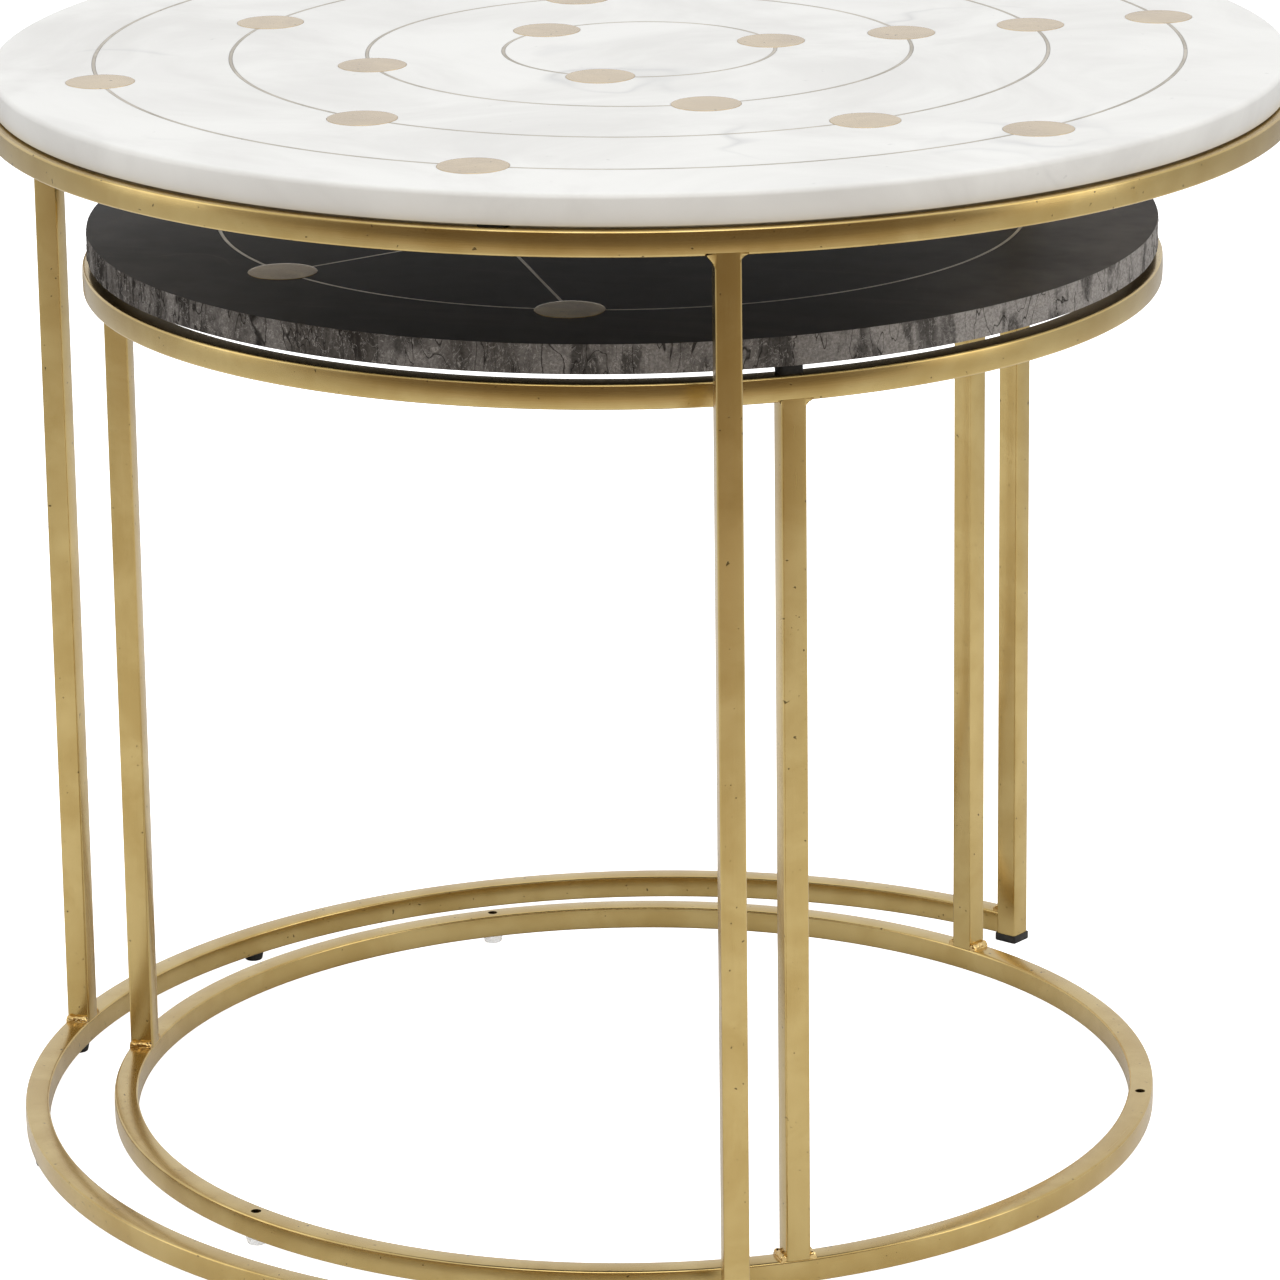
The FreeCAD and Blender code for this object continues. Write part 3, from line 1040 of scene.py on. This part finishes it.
@dataclass
class TubeFrame:
    """Frame of square tube: rings, legs, welds, pads, glides and end plugs."""

    prefix: str
    body: str
    upright: bpy.types.Material
    rounded: bpy.types.Material
    # Brass of the weld beads, lighter than the frame's: the extra lightness is painted highlight.
    weld: bpy.types.Material
    rubber: bpy.types.Material
    plug_plastic: bpy.types.Material
    glide_plastic: bpy.types.Material
    glide_slot: str
    base_node: str
    leg_names: tuple[str, str, str] = ("rear", "left", "right")
    wall: float = 0.0015
    corner: float = 0.0011
    crown: float = 0.00014
    steps: int = 256
    bead_radius: float = 0.0018
    proud: float = 0.00008
    web_sizes: tuple[tuple[float, float], ...] = ((0.0042, 0.0058), (0.003, 0.0028))
    pad_size: tuple[float, float] = (0.0085, 0.013)
    pad_angles: tuple[float, ...] = ()
    pad_edge: float = 0.0
    glide_angles: tuple[float, ...] = ()
    glide_radius: float = 0.00525
    glide_taper: float = 0.0008
    pin_radius: float = 0.0023
    pin_length: float = 0.005

    def __post_init__(self) -> None:
        """Read the frame's place and its tube size from the top ring."""
        low, high = (Vector(corner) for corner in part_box(self.prefix + "_top_ring"))
        self.centre = Vector(((low.x + high.x) / 2, (low.y + high.y) / 2, 0))
        self.radius = (high.x - low.x) / 2
        self.tube = high.z - low.z
        self.middle = self.radius - self.tube / 2

    def leg_angle(self, name: str) -> float:
        """Angle about the frame's axis, in degrees, of one of its legs.

        Args:
            name: The leg: rear, left or right.

        Returns:
            The angle.
        """
        low, high = (Vector(corner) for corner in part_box(f"{self.prefix}_{name}_leg"))
        spot = (low + high) / 2 - self.centre
        return math.degrees(math.atan2(spot.y, spot.x))

    def ring(self, node: str, holes: tuple[float, ...] = ()) -> None:
        """Full ring of tube, with drilled holes at some angles.

        Args:
            node: The CAD node that it stands for.
            holes: Angles of the holes, in degrees; none for a plain ring.
        """
        ring = self._swept(node, 0.0, 360.0)
        if holes:
            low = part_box(node)[0]
            drill = Workpiece.drum("drill", Vector(), self.pin_radius + 0.0001, self.tube * 2, 32)
            spots = [(polar(self.middle, angle, low[2] - self.tube / 2, self.centre), 0.0) for angle in holes]
            ring.cut(drill.repeated(spots))
        ring.done(node, self.body, "frame_brass", self.rounded)

    def arc(self, node: str, start: float, end: float) -> None:
        """Open ring of tube between two legs, its ends let into their walls."""
        self._swept(node, start, end).done(node, self.body, "frame_brass", self.rounded)

    def _swept(self, node: str, start: float, end: float) -> Workpiece:
        """Hollow tube swept round the frame's axis from one angle to another.

        Args:
            node: The CAD node that it stands for.
            start: Angle of its first end, in degrees.
            end: Angle of its second end.

        Returns:
            The tube, closed at its ends unless it is a full ring.
        """
        low, high = (Vector(corner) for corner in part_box(node))
        middle = polar(self.middle, start, (low.z + high.z) / 2, self.centre)
        turn = (math.pi / 2, 0, math.radians(start))
        skin = self._outline(node + "_tube", middle, self.tube, self.corner, self.crown, turn)
        bore = self._outline("bore", middle, self.tube - 2 * self.wall, self.corner / 2, 0.0, turn)
        sweep = end - start
        steps = round(self.steps * sweep / 360)
        for outline in (skin, bore):
            outline.spin(self.centre, sweep, steps)
        with bore.editing():
            bpy.ops.mesh.select_all(action="SELECT")
            bpy.ops.mesh.flip_normals()
        tube = skin.joined([bore])
        if sweep < 360:
            with tube.editing():
                bpy.ops.mesh.select_mode(type="EDGE")
                bpy.ops.mesh.select_all(action="DESELECT")
                bpy.ops.mesh.select_non_manifold()
                bpy.ops.mesh.select_mode(type="EDGE")
                shape = bmesh.from_edit_mesh(tube.thing.data)
                near = Vector(polar(self.middle, start, 0, self.centre))
                for edge in shape.edges:
                    spot = (edge.verts[0].co + edge.verts[1].co) / 2
                    edge.select_set(edge.is_boundary and (spot - near).xy.length < self.tube * 2)
                bmesh.update_edit_mesh(tube.thing.data)
                bpy.ops.mesh.bridge_edge_loops()
                shape = bmesh.from_edit_mesh(tube.thing.data)
                for edge in shape.edges:
                    edge.select_set(edge.is_boundary)
                bmesh.update_edit_mesh(tube.thing.data)
                bpy.ops.mesh.bridge_edge_loops()
        return tube

    @staticmethod
    def _outline(name: str, centre: Vector, width: float, corner: float, crown: float,
                 turn: tuple[float, float, float]) -> Workpiece:
        """Rounded square outline, with its sides crowned if asked.

        Args:
            name: Its name.
            centre: Its middle.
            width: Its width.
            corner: Radius of its corners.
            crown: How far its sides swell; 0 for flat sides.
            turn: Its turn about X, Y and Z, in radians.

        Returns:
            The outline, filled with a face.
        """
        outline = Workpiece.plate(name, centre, width, width, turn)
        outline.round_corners(corner)
        if crown:
            outline.crown(centre, width, crown)
        return outline

    def leg(self, name: str) -> None:
        """Upright tube, open at both ends like the sawn tube that it is.

        Args:
            name: The leg: rear, left or right.
        """
        node = f"{self.prefix}_{name}_leg"
        low, high = (Vector(corner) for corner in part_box(node))
        angle = self.leg_angle(name)
        foot = polar(self.middle, angle, low.z, self.centre)
        turn = (0, 0, math.radians(angle))
        leg = self._outline(node + "_tube", foot, self.tube, self.corner, self.crown, turn)
        with leg.editing():
            bpy.ops.mesh.select_all(action="SELECT")
            bpy.ops.mesh.delete(type="ONLY_FACE")
            bpy.ops.mesh.select_all(action="SELECT")
            bpy.ops.mesh.extrude_edges_move(TRANSFORM_OT_translate={"value": (0, 0, high.z - low.z)})
            bpy.ops.mesh.select_all(action="SELECT")
            bpy.ops.mesh.normals_make_consistent(inside=False)
        leg.modify("SOLIDIFY", thickness=self.wall, offset=-1.0, use_rim=True)
        leg.done(node, self.body, "frame_brass", self.upright)

    def beads(self, node: str, spots: list[tuple[float, int]]) -> None:
        """Rolled weld beads where legs stand on the base.

        Args:
            node: The CAD node of the welds.
            spots: Angle of each leg, and the side of it, 1 or -1, that the bead is on.
        """
        low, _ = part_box(node)
        half = self.tube / 2
        beads = []
        for radius, out, up in ((self.bead_radius, 0.6, 0.55), (self.bead_radius * 0.6, 1.75, 0.05)):
            bead = Workpiece.drum("bead", Vector(), radius, self.tube * 0.96, 20)
            bead.round_edges(radius * 0.6, 3, lambda corner: abs(corner.z) < 1e-6)
            bead.round_edges(radius * 0.6, 3, lambda corner: corner.z > self.tube * 0.96 - 1e-6)
            with bead.editing():
                bead.pick_edges(lambda edge: edge.calc_length() > self.tube / 2)
                bpy.ops.mesh.subdivide(number_cuts=22)
            bead.thing.rotation_euler.y = math.radians(90)
            bead.thing.location = (-self.tube * 0.48, half + radius * out, radius * up)
            bead.focus()
            bpy.ops.object.transform_apply(location=True, rotation=True, scale=True)
            bead.roughen(0.0016, radius * 0.55, middle=0.45)
            bead.roughen(0.0005, radius * 0.12)
            beads.append(bead)
        bead = beads[0].joined(beads[1:])
        bead.thing.name = bead.thing.data.name = node + "_beads"
        places = [(polar(self.middle, angle, low[2], self.centre), angle if side > 0 else angle + 180.0)
                  for angle, side in spots]
        bead.repeated(places).done(node, self.body, "weld_brass", self.weld)

    def webs(self, node: str) -> None:
        """Ground welds under the top ring: a flush filler and a web on each side of every leg.

        Args:
            node: The CAD node of the welds.
        """
        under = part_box(self.prefix + "_top_ring")[0][2]
        filler = Workpiece.block(node + "_webs", Vector(), (self.tube + self.proud, self.tube + self.proud,
                                                            self.corner * 2.2))
        with filler.editing():
            filler.pick_edges(lambda edge: rise(edge) > self.corner)
            bpy.ops.mesh.bevel(offset=self.corner, offset_type="OFFSET", segments=3, profile=0.5,
                               affect="EDGES")
        webs = []
        for side, (width, height) in zip((-1, 1), self.web_sizes):
            bite = self.corner
            middle = Vector((0, side * (self.tube / 2 + (width - bite) / 2), (bite - height) / 2))
            web = Workpiece.block("web", middle, (self.tube, width + bite, height + bite))
            free = self.tube / 2 + width
            with web.editing():
                web.pick("EDGE", lambda corner: side * corner.y > free - 1e-6 and corner.z < -height + 1e-6)
                bpy.ops.mesh.bevel(offset_type="PERCENT", offset_pct=88.0, segments=8, profile=0.2,
                                   affect="EDGES")
            web.round_edges(self.bead_radius * 0.6, 2,
                            lambda corner: abs(abs(corner.x) - self.tube / 2) < 1e-6 and corner.z < -1e-6
                            and side * corner.y > self.tube / 2 + 1e-6)
            webs.append(web)
        joint = filler.joined(webs)
        places = [(polar(self.middle, self.leg_angle(name), under, self.centre), self.leg_angle(name))
                  for name in self.leg_names]
        joint.repeated(places).done(node, self.body, "weld_brass", self.upright)

    def pads(self, node: str) -> None:
        """Soft pads that the stone rests on, squeezed out a little at the sides.

        Args:
            node: The CAD node of the pads.
        """
        low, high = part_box(node)
        width, length = self.pad_size
        height = high[2] - low[2]
        pad = Workpiece.block(node + "_set", Vector((-width / 2, 0, height / 2)), (width, length, height))
        with pad.editing():
            pad.pick_edges(lambda edge: rise(edge) > height / 2)
            bpy.ops.mesh.bevel(offset=width / 4, offset_type="OFFSET", segments=5, profile=0.5,
                               affect="EDGES")
            pad.pick_edges(lambda edge: rise(edge) > height / 2)
            bpy.ops.mesh.subdivide(number_cuts=3)
            pad.pick("VERT", lambda corner: abs(corner.z - height / 2) < height * 0.3)
            bpy.ops.transform.resize(value=(1.03, 1.03, 1.0), center_override=(-width / 2, 0, height / 2))
        places = [(polar(self.pad_edge, angle, low[2], self.centre), angle) for angle in self.pad_angles]
        pad.repeated(places).done(node, self.body, "black_rubber", self.rubber, 50.0)

    def glides(self, node: str) -> None:
        """Round feet, rounded under the rim, each with its pin.

        Args:
            node: The CAD node of the glides.
        """
        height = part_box(self.base_node)[0][2]
        glide = Workpiece.drum(node + "_set", Vector(), self.glide_radius - self.glide_taper, height, 40,
                               self.glide_radius)
        glide.round_edges(0.0006, 3, lambda corner: corner.z < 1e-6)
        with glide.editing():
            glide.pick("FACE", lambda corner: corner.z > height - 1e-6)
            bpy.ops.mesh.inset(thickness=self.glide_radius - self.pin_radius)
            bpy.ops.mesh.extrude_region_move(TRANSFORM_OT_translate={"value": (0, 0, self.pin_length)})
        glide.round_edges(0.0003, 2, lambda corner: corner.z > height + self.pin_length - 1e-6)
        places = [(polar(self.middle, angle, 0.0, self.centre), angle) for angle in self.glide_angles]
        glide.repeated(places).done(node, self.body, self.glide_slot, self.glide_plastic)

    def plugs(self, node: str, names: tuple[str, ...]) -> None:
        """Square end plugs in the legs that reach the floor, each with its shank.

        Args:
            node: The CAD node of the plugs.
            names: The legs that they close.
        """
        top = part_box(node)[1][2]
        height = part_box(f"{self.prefix}_{names[0]}_leg")[0][2]
        width = self.tube + 0.0012
        plug = Workpiece.plate(node + "_set", Vector(), width, width)
        plug.round_corners(0.001)
        with plug.editing():
            bpy.ops.mesh.select_all(action="SELECT")
            bpy.ops.mesh.extrude_region_move(TRANSFORM_OT_translate={"value": (0, 0, height)})
            bpy.ops.mesh.select_all(action="SELECT")
            bpy.ops.mesh.normals_make_consistent(inside=False)
        plug.round_edges(0.0006, 3, lambda corner: corner.z < 1e-6)
        plug.round_edges(0.0002, 2, lambda corner: corner.z > height - 1e-6)
        with plug.editing():
            plug.pick("FACE", lambda corner: corner.z > height - 1e-6)
            bpy.ops.mesh.inset(thickness=(width - self.tube) / 2 + self.wall)
            bpy.ops.mesh.extrude_region_move(TRANSFORM_OT_translate={"value": (0, 0, top - height)})
        places = [(polar(self.middle, self.leg_angle(name), 0.0, self.centre), self.leg_angle(name))
                  for name in names]
        plug.repeated(places).done(node, self.body, "black_plastic", self.plug_plastic)


@dataclass(frozen=True)
class Studio:
    """Pale floor, soft light and the camera."""

    azimuth: float = math.radians(VIEW_ANGLE) + 0.0011
    pitch: float = 0.2961
    roll: float = -0.0129
    distance: float = 2.8957
    height: float = 1.1192
    lens: float = 178.84
    floor_lift: float = 1.0
    # Share of the floor's brightness left in reflections far from the tables: painted shade.
    side_shade_share: float = 0.62
    dusk: Colour = (0.2, 0.135, 0.075)

    def build(self) -> None:
        """Make the floor, the lights, the world and the camera."""
        self._floor()
        self._world()
        self._lamp("overhead_softbox", 2.6, 2.6, 8.0, Vector((0.2, 0.5, 2.6)), Vector((0, 0, 0.4)))
        front = Vector((math.sin(self.azimuth), -math.cos(self.azimuth), 0))
        self._lamp("front_softbox", 2.4, 1.4, 20.0, front * 2.0 + Vector((0, 0, 2.5)), Vector((0, 0, 0.3)))
        self._lamp("left_softbox", 1.2, 2.2, 7.5, Vector((-2.6, -0.9, 1.2)), Vector((0, 0, 0.4)))
        self._lamp("right_softbox", 1.2, 2.2, 11.0, Vector((2.9, 0.0, 1.2)), Vector((0, 0, 0.4)))
        self._camera()

    def _toward_camera(self, wiring: Wiring, point: Socket) -> Socket:
        """How far a point or a direction lies to the camera's side of the tables."""
        front = (math.sin(self.azimuth), -math.cos(self.azimuth), 0.0)
        return wiring.add("VectorMath", {0: point, 1: front}, operation="DOT_PRODUCT").outputs["Value"]

    def _floor(self) -> None:
        """Large plain floor under the tables; what the metal mirrors of it is painted shade, warm brown and
        then dark towards the camera, and greyer far to the sides.
        """
        bpy.ops.object.select_all(action="DESELECT")
        bpy.ops.mesh.primitive_plane_add(size=24.0)
        floor = bpy.context.object
        floor.name = "studio_floor"
        material = bpy.data.materials.new("studio_floor_paint")
        material.use_nodes = True
        wiring = Wiring(material.node_tree)
        shader = material.node_tree.nodes["Principled BSDF"]
        path = wiring.add("LightPath").outputs
        place = wiring.add("NewGeometry").outputs["Position"]
        ahead = self._toward_camera(wiring, place)
        # Painted shade, seen only in reflections: warm brown then dark towards the camera, greyer far from
        # the tables.
        reflected_shade = wiring.mix(wiring.remap(ahead, 1.05, 1.65), (0.9, 0.9, 0.9), (0.72, 0.55, 0.35))
        reflected_shade = wiring.mix(wiring.remap(ahead, 1.68, 2.12), reflected_shade, self.dusk)
        aside = wiring.add("VectorMath", {0: place}, operation="LENGTH").outputs["Value"]
        side_shade = wiring.remap(aside, 0.6, 1.8, 1.0, self.side_shade_share)
        grey = wiring.add("CombineXYZ", {0: side_shade, 1: side_shade, 2: side_shade}).outputs[0]
        reflected_shade = wiring.mix(1.0, reflected_shade, grey, "MULTIPLY")
        paint = wiring.mix(path["Is Camera Ray"], reflected_shade, (0.9, 0.9, 0.9))
        wiring.feed(shader.inputs["Base Color"], paint)
        shader.inputs["Roughness"].default_value = 0.9
        shader.inputs["Emission Color"].default_value = (1, 1, 1, 1)
        wiring.feed(shader.inputs["Emission Strength"],
                    wiring.math("MULTIPLY", path["Is Camera Ray"], self.floor_lift))
        floor.data.materials.append(material)

    def _world(self) -> None:
        """Pale room that is darker on the camera's side, low down."""
        world = bpy.data.worlds.new("studio_room")
        bpy.context.scene.world = world
        world.use_nodes = True
        wiring = Wiring(world.node_tree)
        direction = wiring.add("TexCoord").outputs["Generated"]
        height = wiring.add("SeparateXYZ", {0: direction}).outputs[2]
        dark = wiring.remap(self._toward_camera(wiring, direction), 0.25, 0.8)
        dark = wiring.math("MULTIPLY", dark, wiring.remap(height, 0.3, 0.6, 1.0, 0.0))
        shade = wiring.mix(dark, (0.85, 0.85, 0.86), self.dusk)
        seen = wiring.add("LightPath").outputs["Is Camera Ray"]
        background = world.node_tree.nodes["Background"]
        wiring.feed(background.inputs["Color"], wiring.mix(seen, shade, (0.95, 0.95, 0.95)))

    def _lamp(self, name: str, width: float, height: float, power: float, place: Vector, aim: Vector) -> None:
        """One rectangular softbox that faces a point.

        Args:
            name: Its name.
            width: Its width.
            height: Its height.
            power: Its power in watts.
            place: Where it hangs.
            aim: The point that it faces.
        """
        data = bpy.data.lights.new(name, "AREA")
        data.shape = "RECTANGLE"
        data.size, data.size_y, data.energy = width, height, power
        lamp = bpy.data.objects.new(name, data)
        lamp.location = place
        lamp.rotation_euler = (aim - place).to_track_quat("-Z", "Y").to_euler()
        bpy.context.scene.collection.objects.link(lamp)

    def _camera(self) -> None:
        """Camera on the level line to the outer table's axis, tipped down."""
        data = bpy.data.cameras.new("camera")
        data.lens = self.lens
        data.sensor_width = 36.0
        camera = bpy.data.objects.new("camera", data)
        level = math.radians(VIEW_ANGLE)
        place = Vector((self.distance * math.sin(level), -self.distance * math.cos(level), self.height))
        turn = (Matrix.Rotation(self.azimuth, 4, "Z") @ Matrix.Rotation(math.pi / 2 - self.pitch, 4, "X")
                @ Matrix.Rotation(self.roll, 4, "Z"))
        camera.matrix_world = Matrix.Translation(place) @ turn
        bpy.context.scene.collection.objects.link(camera)
        bpy.context.scene.camera = camera
        bpy.context.scene.view_settings.view_transform = "Standard"


def outer_courses(centre: Vector, top: float) -> list[Course]:
    """Four rings of the outer top, each with one disc more than the ring inside it.

    Args:
        centre: A point on the top's axis.
        top: Height of the top's face.

    Returns:
        The courses, from the inside out.
    """
    counts, spacing, start = (3, 4, 5, 6), 0.063, 29.7
    courses = []
    for number, count in enumerate(counts, start=1):
        radius = spacing * number
        discs = tuple(polar(radius, start + 360.0 * step / count, top, centre) for step in range(count))
        courses.append(Course(f"outer_inlay_discs_{number}", f"outer_inlay_ring_{number}", discs,
                              arcs=((radius, start, 360.0 / count, count),)))
    return courses


def inner_courses(centre: Vector, top: float) -> list[Course]:
    """Circle with two pairs of discs, and the lines from them to the two core discs.

    Args:
        centre: A point on the top's axis.
        top: Height of the top's face.

    Returns:
        The circle with its discs, and the lines with theirs.
    """
    circle, core_radius = 0.188, 0.071
    first, second = -131.4 + INNER_TURN, -84.0 + INNER_TURN
    rim = [polar(circle, angle + half, top, centre) for half in (0, 180) for angle in (first, second)]
    core = [polar(core_radius, first + half, top, centre) for half in (0, 180)]
    gap = second - first
    arcs = ((circle, first, gap, 2), (circle, second, 180.0 - gap, 2))
    lines = ((rim[0], core[0]), (core[0], core[1]), (core[1], rim[2]), (rim[1], core[0]), (rim[3], core[1]))
    return [Course("inner_rim_discs", "inner_inlay_circle", tuple(rim), arcs=arcs),
            Course("inner_core_discs", "inner_inlay_lines", tuple(core), lines=lines)]


def main() -> None:
    """Build the studio and both tables."""
    Studio().build()
    brass = dict(tint=linear(208, 183, 122), shade=linear(192, 164, 101), roughness=0.24, spread=0.14,
                 depth=0.00003)
    upright = BrassFinish("frame_brass_upright", grain=Grain.UPRIGHT, **brass).material()
    # Painted highlight: the bead brass is a lighter copy of the frame brass.
    weld = BrassFinish("weld_brass", tint=linear(244, 216, 152), shade=linear(196, 156, 88), roughness=0.15,
                       spread=0.10, depth=0.00003, grain=Grain.FLAT).material()
    disc = BrassFinish("disc_brass", tint=linear(218, 197, 160), shade=linear(202, 182, 150), roughness=0.26,
                       spread=0.10, depth=0.00001, grain=Grain.FLAT).material()
    strip = BrassFinish("strip_brass", tint=linear(208, 198, 180), shade=linear(172, 162, 142), roughness=0.3,
                        spread=0.12, depth=0.00001, grain=Grain.FLAT).material()
    white = StoneFinish("white_marble", ground=linear(234, 234, 230), cloud=linear(214, 213, 209),
                        cloud_amount=0.8, vein=linear(168, 169, 170), vein_amount=0.4, vein_size=5.0,
                        vein_width=0.02, vein_gaps=0.5, speck=linear(150, 152, 150), speck_amount=0.25,
                        roughness=0.26).material()
    slab_low, slab_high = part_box("inner_slab")
    axis = ((slab_low[0] + slab_high[0]) / 2, (slab_low[1] + slab_high[1]) / 2, 0.0)
    # Its dust colour also paints sheen on the sides of the polished face.
    sawn = SawnRim(axis, (slab_high[0] - slab_low[0]) / 2, ground=linear(88, 84, 80),
                   light=linear(178, 174, 170), dark=linear(34, 31, 28), dust=linear(104, 98, 93))
    black = StoneFinish("black_marble", ground=linear(21, 18, 13), cloud=linear(44, 39, 34),
                        cloud_amount=0.35, vein=linear(138, 132, 124), vein_amount=0.35, vein_size=6.0,
                        vein_width=0.006, vein_gaps=0.6, speck=linear(110, 106, 100), speck_amount=0.3,
                        roughness=0.25, sheen=0.02, streaks=0.7, rim=sawn).material()
    # Painted shade: a darker copy of the disc brass for the discs that lie under the outer top.
    shaded_disc = BrassFinish("disc_brass_shaded", tint=linear(196, 172, 122), shade=linear(140, 116, 78),
                            roughness=0.24, spread=0.10, depth=0.00001, grain=Grain.FLAT).material()
    plastic = PlainFinish("black_plastic", linear(24, 24, 24), 0.45).material()
    clear = ClearFinish("clear_plastic", linear(226, 228, 228), 0.35, 0.25).material()
    rubber = PlainFinish("black_rubber", linear(20, 19, 18), 0.7).material()
    for prefix, body, edge, stone, slot, metal in (
            ("outer", "outer_top", Edge.EASED, white, "white_marble", disc),
            ("inner", "inner_top", Edge.SAWN, black, "black_marble", shaded_disc)):
        top = StoneTop(prefix, body, edge, slot, stone, metal, strip)
        top.courses = (outer_courses if prefix == "outer" else inner_courses)(top.centre, top.top)
        top.build()
    outer_box, inner_box = (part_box(prefix + "_top_ring") for prefix in ("outer", "inner"))
    frames = {}
    for prefix, box in (("outer", outer_box), ("inner", inner_box)):
        centre = tuple((low + high) / 2 for low, high in zip(*box))[:2] + (0.0,)
        rounded = BrassFinish(f"frame_brass_{prefix}_rings", grain=Grain.ROUND, centre=centre,
                              radius=(box[1][0] - box[0][0]) / 2, **brass).material()
        frames[prefix] = TubeFrame(prefix, prefix + "_frame", upright, rounded, weld, rubber, plastic,
                                   plastic if prefix == "outer" else clear,
                                   "black_plastic" if prefix == "outer" else "clear_plastic",
                                   "outer_base_arc" if prefix == "outer" else "inner_base_ring")
    outer, inner = frames["outer"], frames["inner"]
    mouth = outer.leg_angle("left")
    let_in = math.degrees(math.asin((outer.tube / 2 - BASE_LET_IN) / outer.middle))
    outer.pad_angles, outer.pad_edge = (-86.0, 34.0, 154.0), OUTER_PAD_EDGE
    outer.glide_angles = (150.0, 180.0, 210.0)
    outer.ring("outer_top_ring")
    outer.arc("outer_base_arc", mouth + let_in, 360.0 - mouth - let_in)
    outer.beads("outer_base_welds", [(outer.leg_angle("rear"), 1), (outer.leg_angle("rear"), -1),
                                     (mouth, 1), (-mouth, -1)])
    outer.plugs("outer_leg_plugs", ("left", "right"))
    legs = [inner.leg_angle(name) for name in inner.leg_names]
    inner.pad_angles, inner.pad_edge, inner.pad_size = tuple(legs), INNER_PAD_EDGE, (0.0085, 0.011)
    inner.web_sizes = ((0.0015, 0.0025), (0.0032, 0.0032))
    inner.glide_angles = tuple(angle + INNER_TURN for angle in (120.3, 238.0, 4.9))
    inner.ring("inner_top_ring")
    inner.ring("inner_base_ring", inner.glide_angles)
    inner.beads("inner_base_welds", [(angle, side) for angle in legs for side in (1, -1)])
    for tables in (outer, inner):
        for name in tables.leg_names:
            tables.leg(name)
        tables.pads(tables.prefix + "_pads")
        tables.glides(tables.prefix + "_glides")
        tables.webs(tables.prefix + "_top_welds")


if __name__ == "__main__":
    logging.basicConfig(level=logging.INFO, format="%(message)s")
    main()
